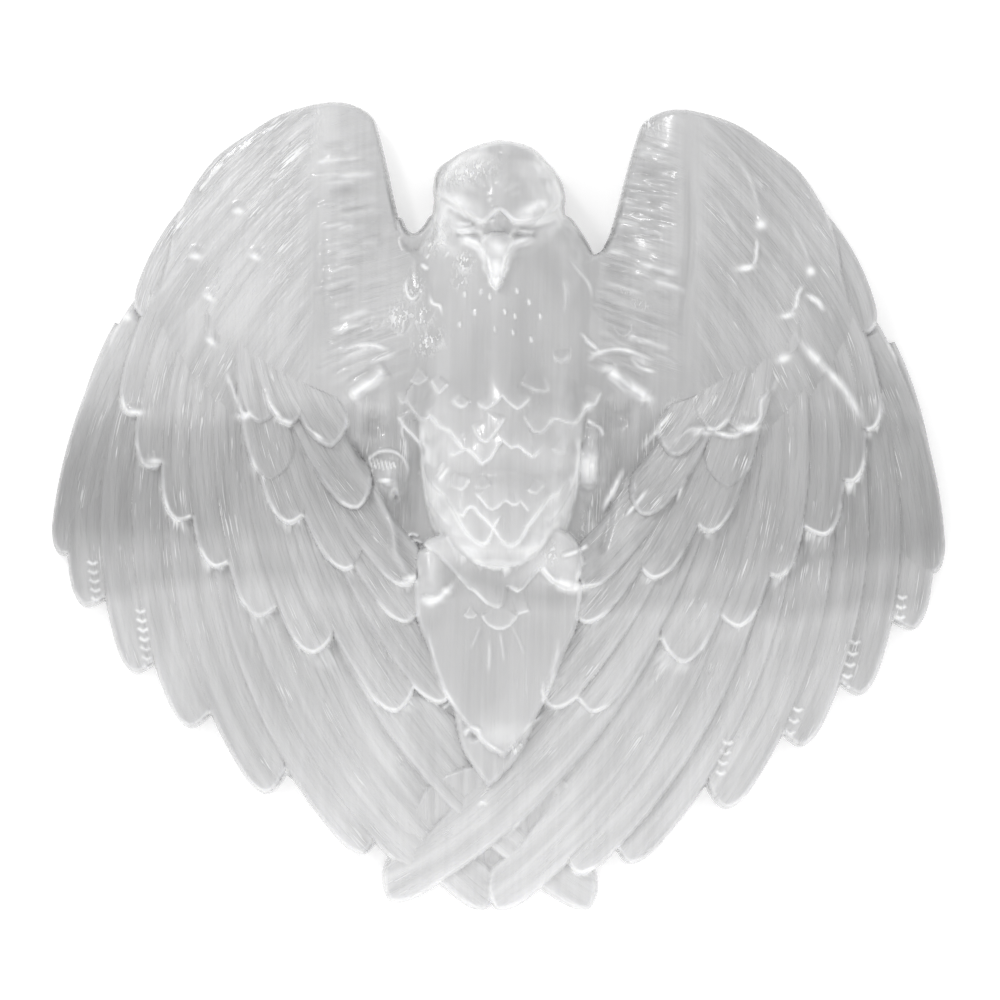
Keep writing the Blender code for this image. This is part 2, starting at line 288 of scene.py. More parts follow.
# Wings: the plate under the feathers, and the rows of the fan
wings = {
    "rimHeight": 7.0,
    "domeHeight": 15.2,
    "domeUp": 3.0,
    "domeReach": 76.0,
    "domePower": 3.0,
    "stripStart": 31.0,           # inside this the wing falls away towards the neck
    "stripFall": 4.2,
    "stripWidth": 14.0,
    "stripFloor": 30.0,
    "stripFade": 22.0,
    "tuck": 0.55,                 # the outline's walls lean out by this much
    "step": 1.15,                 # how far one feather stands over the next
    "sideTilt": 0.19,
    "wrist": (30.0, 60.0),
    # the plate's outline, as a table: up, inner edge, outer edge
    "plate": [(67.0, 26.8, 31.0), (65.0, 22.8, 38.0), (61.5, 21.4, 43.6), (57.4, 20.3, 48.9),
              (51.9, 19.0, 52.8), (47.7, 18.0, 54.8), (44.4, 16.9, 56.0), (42.4, 15.2, 56.4),
              (39.0, 8.0, 57.0), (31.0, -3.0, 60.0), (18.0, -3.0, 66.0), (2.0, -3.0, 70.5),
              (-10.0, -3.0, 68.5), (-20.0, -3.0, 62.5), (-30.0, -3.0, 53.0), (-40.0, -3.0, 42.0),
              (-50.0, -3.0, 29.0), (-57.0, -3.0, 16.0), (-61.5, -3.0, 8.0), (-66.0, -3.0, 3.2)],
    "plateSink": 2.6,             # steps that the plate lies under the feathers
    "plateFree": 34.0,            # and from how far from the wrist, over what width
    "plateBlend": 24.0,
    # name: feathers as (swing from straight down, reach from the wrist), outermost first; then bend,
    # outer and inner width, tip length, part carved, steps over the dome, steps lost along it
    "rows": {
        "flight": ([(31.5, 81.9), (26.1, 87.8), (18.4, 94.6), (11.6, 100.6), (4.0, 109.4), (-4.1, 119.0),
                    (-8.0, 121.8), (-13.1, 130.5), (-20.5, 134.8)], 40.0, 2.4, 5.6, 5.0, 0.50, 1.1, 0.045),
        "longCovert": ([(34.4, 55.9), (27.4, 61.7), (20.2, 67.8), (12.9, 72.8), (6.7, 79.7), (0.1, 85.1),
                        (-8.7, 95.1), (-13.0, 95.3)], 30.0, 2.6, 6.0, 5.5, 0.52, 0.9, 0.060),
        "middleCovert": ([(27.4, 38.4), (12.1, 48.2), (7.7, 56.8), (3.9, 63.6), (-4.1, 71.3), (-11.4, 80.7)],
                         30.0, 2.6, 5.5, 5.5, 0.50, 1.0, 0.072),
        "innerCovert": ([(5.5, 47.0), (-2.5, 50.6), (-6.4, 61.0), (-12.4, 74.7)],
                        38.0, 2.4, 5.0, 5.0, 0.42, 1.3, 0.110),
        "shoulder": ([(45.5, 42.6)], 36.0, 2.4, 8.0, 4.5, 0.50, 0.3, 0.080),
    },
    "outermostBend": 30.0,
    "crossingFeathers": 3,
    "crossingLift": 0.9,
    "firstLow": 0.55,             # the first middle covert lies this much lower
    "stray": 0.25,                # how far the two sides' feathers differ
    "shrink": 0.25,               # a covert lies this far inside its outline
    "crown": 0.12,                # a feather is this much higher along its middle
    "runOn": 4.0,                 # it runs on this far under the next row, sinking by
    "runSink": 0.55,              # this many steps a millimetre
    "widen": (10.0, 0.2, 3.5),    # its covered side widens: from how far back, how fast, how much
    "tipBright": (0.25, 0.85, 5.0),   # painted highlight on a feather's step: least, added at the tip, reach
    "faint": 0.4,                 # share of that painted highlight on the feathers that barely stand out
    # flight feathers whose two sides differ more: swing, reach
    "wandering": {1: (0.0, 0.5), 2: (0.0, 0.6), 3: (0.0, 0.5), 4: (0.2, 0.5), 5: (0.3, 0.3)},
}


def swell(x, up):
    distance = np.minimum(np.hypot(x, up - wings["domeUp"]) / wings["domeReach"], 1.06)
    rise = wings["domeHeight"] - wings["rimHeight"]
    top = wings["rimHeight"] + rise * (1 - distance ** wings["domePower"])
    inward = ease((wings["stripStart"] - np.abs(x)) / wings["stripWidth"])
    high = ease((up - wings["stripFloor"]) / wings["stripFade"])
    return top - wings["stripFall"] * inward * high


def featherPlace(feather, x, up):
    # (back from the tip, across towards the free side) of places near a feather
    side, tip, heading, rate = feather["side"], feather["tip"], feather["heading"], feather["rate"]
    middle = (tip[0] - math.cos(heading) / rate, tip[1] - math.sin(heading) / rate)
    dx, dy = side * x - middle[0], up - middle[1]
    return (np.arctan2(dy, dx) - heading) / rate, np.hypot(dx, dy) - 1 / rate


def layFeather(feather, shrink):
    feathers.append(feather)
    outer, inner = feather["outer"] - shrink, feather["inner"]
    reach = feather["length"] + wings["runOn"]
    heading, rate, tip = feather["heading"], feather["rate"], feather["tip"]
    angles = heading + rate * np.linspace(-1, reach, 12)
    spine = [(feather["side"] * (tip[0] - (math.cos(heading) - math.cos(angle)) / rate),
              tip[1] - (math.sin(heading) - math.sin(angle)) / rate) for angle in angles]
    where = area(spine, max(outer, inner) + 2.5)
    x, up = gridX[where], gridUp[where]
    back, across = featherPlace(feather, x, up)
    back = back - shrink
    widenFrom, widening, widest = wings["widen"]
    width = np.where(across > 0, outer, inner + np.clip(widening * (back - widenFrom), 0, widest))
    ahead = np.clip(1 - back / feather["tipLength"], 0, None)
    q = np.hypot(ahead, across / width)
    steep = np.hypot(ahead / feather["tipLength"], across / width ** 2) / np.maximum(q, 1e-6)
    distance = np.minimum((1 - q) / np.maximum(steep, 1e-6), width)
    level = feather["lift"] - feather["fall"] * back - wings["sideTilt"] * (outer - across)
    level = level - wings["runSink"] * np.maximum(back - feather["length"], 0)
    crown = wings["crown"] * (1 - np.clip(across / width, -1, 1) ** 2)
    values = swell(x, up) + wings["step"] * level + crown - edgeDrop(distance)
    values = np.where((back > reach) | (back < -6), slab["foot"], values)
    least, atTip, tipReach = wings["tipBright"]
    gain = (least + atTip * np.exp(-(np.maximum(back, 0) / tipReach) ** 2)) * feather["gain"]
    stepHighlightGain[where] = np.where((distance > -1.0) & (values > height[where] - 1.6), gain, stepHighlightGain[where])
    lay(where, values, len(feathers) - 1)


def layWing(side):
    table = wings["plate"]
    inner = [(side * row[1], row[0]) for row in table]
    outer = [(side * row[2], row[0]) for row in table]
    outline = softLine(inner + outer[::-1], closed=True, steps=4)
    where = area(outline, 3.0)
    x, up = gridX[where], gridUp[where]
    distance = insideDistance(x, up, outline) - wings["tuck"]
    away = np.hypot(np.abs(x) - wings["wrist"][0], up - wings["wrist"][1])
    sink = wings["plateSink"] * ease((away - wings["plateFree"]) / wings["plateBlend"])
    lay(where, swell(x, up) - wings["step"] * sink - edgeDrop(distance))
    for name, (fan, bend, wide, narrow, tipLength, part, lift, fall) in wings["rows"].items():
        for i, (swing, reach) in enumerate(fan):
            flight = name == "flight"
            crossing = flight and side > 0 and i >= len(fan) - wings["crossingFeathers"]
            alone = name == "middleCovert" and i == 0         # barely stands out of the wing's top
            stray = wings["stray"] * math.sin(2.3 * i + len(name))
            turned, stretched = wings["wandering"].get(i, (stray, stray)) if flight else (stray, stray)
            swung = math.radians(swing + side * turned)
            reach = reach + side * stretched
            turn = math.radians(wings["outermostBend"] if flight and i == 0 else bend)
            raised = (wings["crossingLift"] if crossing else 0.0) - (wings["firstLow"] if alone else 0.0)
            layFeather({
                "side": side,
                "tip": (wings["wrist"][0] + math.sin(swung) * reach,
                        wings["wrist"][1] - math.cos(swung) * reach),
                "heading": swung - turn,
                "rate": 2 * math.sin(turn) / reach,           # radians of bend to a millimetre
                "outer": wide,
                "inner": narrow,
                "tipLength": tipLength,
                "length": reach * part,
                "lift": lift + raised,
                "fall": fall,
                "gain": wings["faint"] if name == "shoulder" or alone else 1.0,
            }, wings["tuck"] if flight else wings["shrink"])


# Between the wings a thin plate fills the gaps that the crossing feathers would leave
crossPlate = {
    "outline": [(430, 790), (470, 770), (530, 770), (575, 790), (590, 830), (560, 865), (520, 880),
                (500, 886), (480, 880), (440, 860), (415, 825)],
    "sink": 0.75,
}
layWing(-1)
plate(traced(crossPlate["outline"]), lambda x, up: swell(x, up) - crossPlate["sink"])
layWing(1)
print("wings carved,", len(feathers) - 1, "feathers")

# Body and head. Trunk and skull are tables: up, half width, share of the crest's height over the flanks
body = {
    "side": 12.5,
    "belly": 25.0,
    "head": 26.2,
    "headTurn": -1.2,
    "fullness": 0.72,
    "neckSpread": 3.5,            # how far the neck runs out over the wings
    "neckFoot": 8.6,
    "neckPower": 1.5,
    "neckUp": (9.0, 13.0),        # the neck starts to run out here, and has done so after this much more
    "chinUp": (47.0, 5.0),        # the face starts to run into the neck here, and does after this much less
    "notchHeight": 10.6,
    "notchFill": [(399, 225), (404, 234), (411, 240), (419, 239), (427, 231), (434, 223), (440, 250),
                  (430, 262), (414, 266), (402, 255)],
    "faceDepth": 1.3,             # the face lies this far under the brows
    "trunk": [(48.8, 8.0, 0.74), (46.3, 12.0, 0.74), (40.0, 15.4, 0.74), (34.0, 17.0, 0.72),
              (28.0, 16.4, 0.74), (22.0, 15.0, 0.80), (16.0, 14.0, 0.88), (10.0, 13.4, 0.96),
              (4.0, 12.8, 1.0), (-2.0, 11.6, 0.96), (-5.4, 10.2, 0.88), (-8.2, 7.8, 0.74), (-9.4, 5.2, 0.6)],
    "skull": [(60.4, 1.6, 0.30), (58.8, 6.0, 0.60), (56.3, 8.9, 0.82), (53.0, 10.4, 0.95), (49.0, 10.9, 1.0),
              (45.0, 11.4, 0.92), (41.0, 10.0, 0.74)],
}


def arched(table, crest, x, up):
    # height of a rounded form that stands on the flanks
    half = np.maximum(along(table, up, 1), 0.5)
    top = (crest - body["side"]) * along(table, up, 2)
    return body["side"] + top * np.clip(1 - (x / half) ** 2, 0, 1) ** body["fullness"]


def neckShare(up):
    # 1 where the neck runs into the wings, 0 where the belly stands clear of them
    return ease((up - body["neckUp"][0]) / body["neckUp"][1])


def trunkHeight(x, up):
    full = arched(body["trunk"], body["belly"], x, up)
    half = np.maximum(along(body["trunk"], up, 1), 0.5) + body["neckSpread"]
    crest = (body["belly"] - body["side"]) * along(body["trunk"], up, 2) + body["side"]
    bulge = np.clip(1 - (x / half) ** 2, 0, 1) ** body["neckPower"]
    neckHeight = body["neckFoot"] + (crest - body["neckFoot"]) * bulge
    return full + (neckHeight - full) * neckShare(up)


def bodyHeight(x, up):
    trunk = trunkHeight(x, up)
    skull = arched(body["skull"], body["head"], x - body["headTurn"], up)
    near = np.maximum(2.0 - np.abs(trunk - skull), 0) / 2.0
    return np.maximum(trunk, np.where(up > 36, skull, -9)) + 0.5 * near * near * (up > 36)


def outlineOf(table, middle, tuck):
    left = [(middle - max(half - tuck, 0.2), up) for up, half, share in table]
    right = [(middle + max(half - tuck, 0.2), up) for up, half, share in table]
    return left + right[::-1]


trunkLine = softLine(outlineOf(body["trunk"], 0.0, 0.1), closed=True)
where = area(trunkLine, 9.0)
x, up = gridX[where], gridUp[where]
distance = insideDistance(x, up, trunkLine)
clear = np.where(height[where] < 1, 1.0, 1 - neckShare(up))
flank = 0.5 * np.clip(-distance - 3, 0, None)
lay(where, trunkHeight(x, up) - clear * edgeDrop(distance, 0.7) - flank, soft=2.0)
skullLine = softLine(outlineOf(body["skull"], body["headTurn"], 0.45), closed=True)
where = area(skullLine, 6.0)
x, up = gridX[where], gridUp[where]
distance = insideDistance(x, up, skullLine)
face = arched(body["skull"], body["head"], x - body["headTurn"], up) - body["faceDepth"]
chin = np.where(height[where] < 1, 0.0, ease((body["chinUp"][0] - up) / body["chinUp"][1]))
flank = 0.9 * np.clip(1.0 - distance, 0, None)
lay(where, face - (1 - chin) * edgeDrop(distance) - chin * flank, soft=1.2)
plate(traced(body["notchFill"]), lambda x, up: np.full(x.shape, body["notchHeight"]), soft=1.5)
print("body and head carved")

# Breast and belly, by the picture
breast = {
    # rows of scales: places along the row's edge, rise, shine
    "rows": [([(397, 396), (403, 407), (409, 406), (415, 415), (421, 423), (427, 423), (431, 419), (441, 430),
               (451, 435), (457, 443), (465, 453), (472, 455), (477, 460), (483, 468), (491, 462), (497, 452),
               (503, 444), (508, 449), (512, 452), (519, 450), (525, 455), (533, 461), (539, 455),
               (545, 446)], 0.8, 0.8),
             ([(399, 420), (407, 432), (415, 440), (421, 447), (425, 452)], 0.6, 0.8),
             ([(473, 428), (477, 437), (481, 444), (485, 446), (489, 445), (497, 435), (502, 427),
               (505, 420)], 0.6, 0.6),
             ([(524, 419), (529, 428), (534, 436), (540, 437), (547, 432), (550, 426), (553, 423), (561, 424),
               (569, 427), (576, 426), (582, 418), (587, 412), (595, 408), (599, 400),
               (602, 393)], 0.7, 0.65),
             ([(454, 404), (458, 409), (462, 411), (466, 410), (470, 405)], 0.5, 0.6),
             ([(477, 405), (482, 411), (487, 413), (492, 411), (497, 407), (503, 400), (508, 406), (513, 410),
               (518, 413), (522, 411), (527, 406), (531, 400)], 0.6, 0.6),
             ([(432, 384), (436, 391), (440, 397), (445, 392), (449, 388)], 0.5, 0.6),
             ([(411, 384), (416, 387), (420, 388), (425, 385), (429, 381)], 0.4, 0.5),
             ([(521, 388), (528, 391), (536, 395), (544, 396), (550, 394)], 0.4, 0.4),
             ([(450, 459), (455, 459), (461, 456), (466, 455)], 0.4, 0.6),
             ([(552, 452), (557, 456), (562, 457), (568, 456)], 0.4, 0.45),
             ([(427, 472), (429, 480), (433, 488), (438, 493), (443, 497), (448, 503), (453, 510), (458, 519),
               (463, 528), (469, 537), (475, 543), (480, 546), (484, 547), (488, 545), (491, 539), (495, 528),
               (499, 521), (503, 516)], 0.7, 0.9),
             ([(453, 510), (458, 517), (464, 519), (467, 513), (471, 510), (476, 511), (481, 518), (488, 524),
               (493, 530), (498, 537), (503, 544), (507, 547), (513, 548), (519, 544), (523, 538), (527, 530),
               (535, 520), (542, 510), (549, 501), (554, 499), (559, 498), (565, 488), (572, 476)], 0.7, 0.9),
             ([(475, 495), (480, 500), (485, 506), (489, 511), (493, 513), (498, 511), (503, 506), (507, 504),
               (513, 508), (517, 508), (521, 504), (526, 510), (532, 518)], 0.5, 0.7),
             ([(528, 493), (532, 496), (536, 497), (540, 494), (544, 488)], 0.4, 0.6),
             ([(450, 489), (456, 491), (462, 493), (466, 490), (469, 482)], 0.4, 0.5),
             ([(475, 489), (480, 492), (486, 492), (492, 488)], 0.3, 0.35),
             ([(430, 504), (435, 512), (440, 519), (447, 526)], 0.5, 0.9),
             ([(446, 535), (450, 543), (455, 551), (461, 558), (468, 564)], 0.4, 0.9),
             ([(522, 563), (528, 563), (534, 560), (540, 552), (545, 540)], 0.4, 0.85),
             ([(549, 527), (555, 520), (561, 512), (566, 504), (570, 496), (575, 486)], 0.5, 0.8)],
    # place, half width, half height, rise
    "hollows": [(500, 477, 9.0, 1.9, -0.9), (455, 478, 3.0, 2.2, -0.5), (560, 476, 2.5, 1.8, -0.5)],
    # places, width, rise, shine
    "strokes": [([(433, 486), (447, 468)], 0.35, 0.3, 0.9), ([(437, 488), (451, 469)], 0.35, 0.3, 0.9),
                ([(436, 478), (446, 465)], 0.35, 0.3, 0.9)],
}
bumps(breast["hollows"])
stepLines(breast["rows"])
for ends, width, rise, shine in breast["strokes"]:
    ridge(traced(ends), width, rise, soft=False, shine=shine)
print("breast carved")

# Tail under the body, in two layers. A layer is a table: up, middle, half width
tail = {
    "low": [(-46.2, -0.8, 0.2), (-44.2, -0.6, 2.0), (-40.5, -0.4, 4.6), (-35.0, 0.0, 6.4), (-28.0, 0.0, 7.0)],
    "high": [(-41.3, 1.4, 0.2), (-39.2, 0.9, 2.6), (-35.6, 0.4, 5.6), (-30.9, 0.0, 8.4), (-24.0, 0.0, 11.0),
             (-18.5, 0.0, 13.2), (-12.0, 0.0, 13.4), (-7.0, 0.0, 11.0)],
    "steps": {"low": 1.0, "high": 2.2},   # steps over the wings' dome at the layer's tip
    "fall": 0.8,                          # steps lost from there to the body
    "round": (9.0, 0.25),                 # the layer is this much lower this far from the middle
}
for key in ("low", "high"):
    table = tail[key]
    outline = [(middle - half, up) for up, middle, half in table]
    outline += [(middle + half, up) for up, middle, half in table[::-1]]
    steps, first, last = tail["steps"][key], table[0][0], table[-1][0]
    halfWide, lower = tail["round"]
    plate(outline, lambda x, up: swell(x, up) - lower * (x / halfWide) ** 2
          + wings["step"] * (steps - tail["fall"] * (up - first) / (last - first)))
print("tail carved")

# Head, by the picture: the crown stands over the face along the brows, and the beak over both
head = {
    "crown": [(441, 176), (452, 167), (470, 157), (500, 150), (530, 156), (547, 173), (558, 186), (562, 204),
              (556, 213), (545, 221), (532, 227), (516, 228), (508, 222), (500, 216), (492, 222), (484, 228),
              (474, 224), (460, 214), (448, 207), (439, 201), (438, 190)],
    "crownRise": 0.25,
    "beak": [(483, 247), (491, 242), (505, 242), (514, 247), (509, 258), (505, 270), (502, 284), (497, 293),
             (492, 284), (489, 270), (487, 258)],
    "beakRise": 1.5,
    "beakSink": 0.2,
    "beakHalf": 3.0,
    "beakMiddle": (498, 260),
    # ridges and cuts: places, width, rise, and shine where it differs
    "lines": [([(458, 245), (470, 247), (480, 252), (486, 262), (490, 276), (494, 286)], 0.62, 0.9, 1.0),
              ([(536, 245), (524, 247), (514, 252), (508, 262), (504, 276), (500, 286)], 0.62, 0.9, 1.0),
              ([(498, 212), (498, 226), (498, 240)], 0.95, 0.7, 0.0),
              ([(455, 239), (470, 242), (484, 240)], 0.55, -0.8),
              ([(510, 240), (524, 242), (538, 239)], 0.55, -0.8),
              ([(448, 213), (462, 222), (480, 234)], 0.60, -0.7),
              ([(514, 234), (536, 233), (560, 224)], 0.60, -0.7),
              ([(458, 229), (466, 231), (474, 230)], 0.28, 0.45),
              ([(455, 236), (466, 236), (478, 234)], 0.25, 0.35),
              ([(518, 238), (526, 238), (534, 240)], 0.28, 0.4),
              ([(441, 201), (458, 211), (482, 226)], 1.0, 0.3, 0.5),
              ([(514, 226), (536, 221), (558, 206)], 1.0, 0.3, 0.5),
              ([(491, 283), (497, 289), (503, 283)], 0.7, 0.4, 1.0)],
    # patches of painted highlight: place, half length, half width, strength, turn
    "highlightPatches": [(461, 207, 21, 6, 1.0, -33), (538, 214, 19, 6, 1.0, 24), (497, 256, 14, 9, 0.85, 0),
             (497, 274, 8, 12, 0.85, 0), (497, 290, 6, 3, 1.0, 0)],
    # nostrils and two dots: place, half width, half height, rise
    "dots": [(487, 274, 0.35, 0.35, 0.5), (506, 274, 0.35, 0.35, 0.5), (491, 207, 0.4, 0.4, 0.35),
             (493, 228, 0.35, 0.35, 0.4)],
    "rays": 22,                   # faint rays over the crown
    "rayWidth": 0.4,
    "rayShine": 0.12,
    "rayMiddle": (494, 208),
    "raySwing": 1.35,
}


def beakHeight(x, up):
    across = (x - onStone(*head["beakMiddle"])[0]) / head["beakHalf"]
    return bodyHeight(x, up) - head["beakSink"] + head["beakRise"] * (1 - across ** 2)


plate(traced(head["crown"]), lambda x, up: bodyHeight(x, up) + head["crownRise"], sharp=0.9)
plate(traced(head["beak"]), beakHeight)
ridges(head["lines"], taper=0.2, shine=0.6)
bumps(head["dots"])
patches(paintedHighlight, head["highlightPatches"])
random = np.random.default_rng(5)
for i in range(head["rays"]):
    swing = head["raySwing"] * (2 * i / (head["rays"] - 1) - 1) + random.uniform(-0.05, 0.05)
    near, far = random.uniform(8, 16), random.uniform(24, 40)
    ray = [(head["rayMiddle"][0] + reach * math.sin(swing), head["rayMiddle"][1] - reach * math.cos(swing))
           for reach in (near, far)]
    ridge(traced(ray), head["rayWidth"], random.uniform(-0.12, 0.12), soft=False, shine=head["rayShine"])
print("head carved")

# Throat and neck, by the picture: tufts, ticks, and the hairs that run out over the wings
neck = {
    # place of the tip, half width, length, rise
    "tufts": [(414, 307, 6, 18, 0.35), (422, 331, 8, 20, 0.4), (433, 352, 9, 20, 0.4), (402, 340, 6, 24, 0.4),
              (463, 277, 7, 15, 0.3), (376, 334, 6, 18, 0.3), (564, 366, 9, 14, 0.4), (625, 340, 8, 16, 0.3)],
    "tuftLean": 0.25,
    "tuftTip": 0.7,               # share of a tuft's length over which it narrows
    "tuftShine": 0.35,
    "tuftSharp": 0.6,             # a tuft's edge drops less steeply than a feather's
    "threadRise": 0.25,
    "tickWidth": 0.2,
    "tickRise": 0.3,
    # bright threads: places, width, shine
    "threads": [([(411, 279), (407, 290), (410, 302), (416, 303), (424, 294)], 0.26, 0.8),
                ([(430, 296), (433, 308), (441, 312), (443, 324)], 0.26, 0.8),
                ([(421, 268), (427, 273), (431, 271)], 0.3, 0.9), ([(443, 236), (437, 242)], 0.24, 0.7),
                ([(446, 243), (440, 251)], 0.24, 0.7), ([(433, 247), (428, 253)], 0.26, 0.8),
                ([(431, 258), (426, 265)], 0.24, 0.7), ([(450, 256), (445, 264)], 0.24, 0.7),
                ([(566, 262), (576, 272), (590, 290), (592, 306)], 0.3, 0.35),
                ([(562, 280), (566, 296), (565, 322)], 0.3, 0.3),
                ([(578, 336), (592, 348), (602, 358)], 0.3, 0.5),
                ([(408, 420), (403, 436), (410, 452)], 0.26, 0.35)],
    "ticks": [(481, 298), (490, 303), (517, 297), (529, 308), (475, 318), (515, 322), (495, 335), (513, 338),
              (465, 300), (540, 322), (505, 318), (460, 330), (531, 345)],
    # places, width, rise
    "folds": [([(340, 358), (352, 352), (372, 350), (395, 356)], 0.42, 0.7),
              ([(585, 370), (597, 358), (625, 355), (660, 368)], 0.42, 0.7),
              ([(322, 190), (321, 250), (323, 320), (320, 385)], 1.1, -0.35),
              ([(690, 150), (691, 210), (690, 260), (681, 345)], 0.8, -0.45),
              ([(660, 378), (640, 372), (628, 360)], 0.3, 0.3),
              ([(583, 342), (592, 350), (600, 356)], 0.35, 0.4)],
    "hairs": 230,
    "hairsFrom": 150,
    "hairsTo": 385,
    "hairsInner": 368,            # the left wing's inner edge at the top
}


def tuft(px, py, half, length, rise):
    # a small pointed tuft that leans away from the middle
    tip = onStone(px, py)
    half, length = half * slab["pixel"], length * slab["pixel"]
    lean = neck["tuftLean"] if px < slab["pictureMiddle"][0] else -neck["tuftLean"]
    c, s = math.cos(lean), math.sin(lean)
    where = area([tip, (tip[0] + s * length, tip[1] + c * length)], half + 2.5)
    x, up = gridX[where], gridUp[where]
    back = (x - tip[0]) * s + (up - tip[1]) * c
    across = (x - tip[0]) * c - (up - tip[1]) * s
    narrowing = length * neck["tuftTip"]
    ahead = np.clip(1 - back / narrowing, 0, None)
    beside = np.abs(across) / half
    q = np.maximum(np.hypot(ahead, beside), 1e-6)
    distance = (1 - q) / np.maximum(np.hypot(ahead / narrowing, beside / half) / q, 1e-6)
    level = sampled(height, x, up) + rise * (1.2 - 1.5 * back / length) - 0.6 * np.maximum(back - length, 0)
    values = np.where(distance > -1.5, level - edgeDrop(distance, neck["tuftSharp"]), slab["foot"])
    # a painted highlight along the tuft's edge, fading out away from its tip
    tipLight = ease((0.9 * length - back) / (0.5 * length))
    line = neck["tuftShine"] * np.exp(-((distance + 0.1) / 0.22) ** 2) * tipLight
    under = (values > height[where]) & (distance > 0.3)
    paintedHighlight[where] = np.maximum(np.where(under, 0, paintedHighlight[where]),
                                 np.where(values > height[where] - 0.5, line, 0))
    lay(where, values)


for place in neck["tufts"]:
    tuft(*place)
for places, width, shine in neck["threads"]:
    ridge(traced(places), width, neck["threadRise"], shine=shine)
for px, py in neck["ticks"]:
    ridge(traced([(px, py - 4), (px + 1, py + 4)]), neck["tickWidth"], neck["tickRise"], soft=False)
ridges(neck["folds"])
for i in range(neck["hairs"]):
    right = i % 2
    top, bottom = neck["hairsFrom"], neck["hairsTo"]
    py = random.uniform(top, bottom)
    inner = neck["hairsInner"] + (py - top) * 0.19
    px = random.uniform(1004 - inner, 668) if right else random.uniform(328, inner - 12)
    slope = (0.06 + 0.40 * (py - top) / (bottom - top)) * (1 if right else -1)
    reach = random.uniform(9, 26)
    bow = random.uniform(-3, 1)
    ridge(traced([(px - reach, py - reach * slope), (px, py + bow), (px + reach, py + reach * slope)]),
          random.uniform(0.3, 0.7), random.uniform(0.08, 0.28) * (1 if random.random() < 0.6 else -1),
          shine=random.uniform(0.0, 1.0) ** 3 * 0.6)
print("neck carved")

# Legs, feet and the skirt over the tail, by the picture
legs = {
    # places, width, rise, and shine where it differs
    "lines": [([(350, 403), (362, 394), (376, 384), (389, 373)], 1.05, 1.8, 0.8),
              ([(606, 373), (617, 381), (633, 393), (650, 404)], 1.1, 1.8, 0.8),
              ([(372, 486), (385, 512), (394, 532), (398, 558), (414, 585)], 0.8, 1.0, 0.15),
              ([(402, 583), (410, 582), (419, 581)], 0.6, 1.3),
              ([(350, 440), (362, 465), (380, 500), (392, 530)], 0.5, -0.5),
              ([(612, 500), (608, 530), (600, 560)], 0.6, -0.6),
              ([(408, 540), (414, 538), (420, 541)], 0.3, 0.5),
              ([(412, 545), (418, 545), (424, 548)], 0.3, 0.5),
              ([(560, 560), (575, 556), (590, 548)], 0.4, 0.6),
              ([(555, 585), (570, 590), (588, 590)], 0.9, 0.8),
              ([(420, 600), (431, 605), (443, 600), (451, 590)], 0.7, 0.8),
              ([(541, 571), (549, 580), (556, 586)], 0.45, 0.8),
              ([(586, 425), (600, 432), (604, 442)], 0.4, 0.6)],
    # knobs, bumps and hollows: place, half width, half height, rise
    "bumps": [(388, 476, 3.0, 3.2, 2.4), (589, 466, 2.6, 4.2, 3.2), (432, 583, 2.2, 4.4, 1.5),
              (574, 574, 3.0, 3.4, 1.5), (375, 426, 2.6, 2.4, -1.7), (618, 418, 2.7, 2.4, -1.9),
              (380, 468, 2.0, 1.7, -1.7), (387, 485, 1.3, 0.7, 0.8), (396, 500, 0.55, 0.8, -1.8),
              (590, 487, 2.2, 0.9, 0.5), (592, 440, 1.6, 1.4, 0.5), (596, 460, 0.9, 1.3, 0.5),
              (583, 476, 0.8, 1.2, 0.4), (581, 450, 0.7, 0.9, -0.4),
              (408, 460, 0.8, 1.4, 0.6), (405, 505, 1.6, 3.6, -1.2), (590, 515, 2.0, 3.4, -1.2)],
    "skirt": [(430, 545), (440, 558), (450, 570), (459, 578), (475, 594), (482, 601), (491, 608), (503, 608),
              (506, 592), (512, 591), (518, 593), (527, 586), (534, 577), (541, 570), (549, 579), (556, 586),
              (572, 590), (580, 560), (560, 535), (500, 530)],
    "skirtSteps": 2.2,
    # rows of scales: places along the row's edge, rise, shine
    "rows": [([(457, 576), (464, 584), (470, 591), (476, 594), (482, 600), (488, 606), (494, 609), (499, 610),
               (505, 606)], 0.3, 0.85),
             ([(506, 588), (512, 591), (518, 594), (523, 591), (528, 585), (535, 577), (541, 570), (548, 578),
               (555, 585), (563, 588)], 0.3, 0.9),
             ([(482, 616), (486, 624), (490, 628), (497, 631), (504, 631), (510, 628), (515, 622),
               (518, 616)], 0.5, 0.55),
             ([(465, 617), (469, 620), (474, 620), (478, 617)], 0.3, 0.5),
             ([(517, 617), (523, 615), (530, 613)], 0.3, 0.5)],
    # patches of painted highlight: place, half length, half width, strength, turn
    "highlightPatches": [(431, 603, 13, 4, 1.0, 0), (447, 596, 8, 3, 1.0, 50), (410, 583, 9, 3, 0.9, 3),
             (572, 589, 19, 5, 1.0, -8), (585, 520, 8, 26, 0.25, 0), (622, 540, 22, 30, 0.18, 0),
             (554, 584, 8, 3, 0.9, -35), (590, 468, 15, 20, 0.7, 0), (592, 470, 6, 5, 0.9, 0),
             (588, 412, 6, 4, 0.8, 30), (387, 485, 8, 3, 0.9, 0),
             (355, 400, 5, 4, 0.9, 0), (382, 376, 6, 3, 1.0, 0), (608, 374, 6, 4, 1.0, 0),
             (646, 402, 7, 4, 1.0, -35), (626, 388, 16, 3, 0.8, -38), (440, 484, 10, 6, 0.4, 40)],
    # the left knob's rim: middle, half width, half height; then its line's width, rise and shine
    "knob": (388, 475, 21, 20),
    "knobLine": (0.35, 0.4, 0.5),
    "hatching": 7,                # lines in the left knob's hollow, and their width and rise
    "hatchLine": (0.24, 0.45),
}
plate(traced(legs["skirt"]), lambda x, up: swell(x, up) + wings["step"] * legs["skirtSteps"], soft=1.0)
stepLines(legs["rows"], reach=1.6)
bumps(legs["bumps"])
ridges(legs["lines"], taper=0.15, shine=0.9)
patches(paintedHighlight, legs["highlightPatches"])
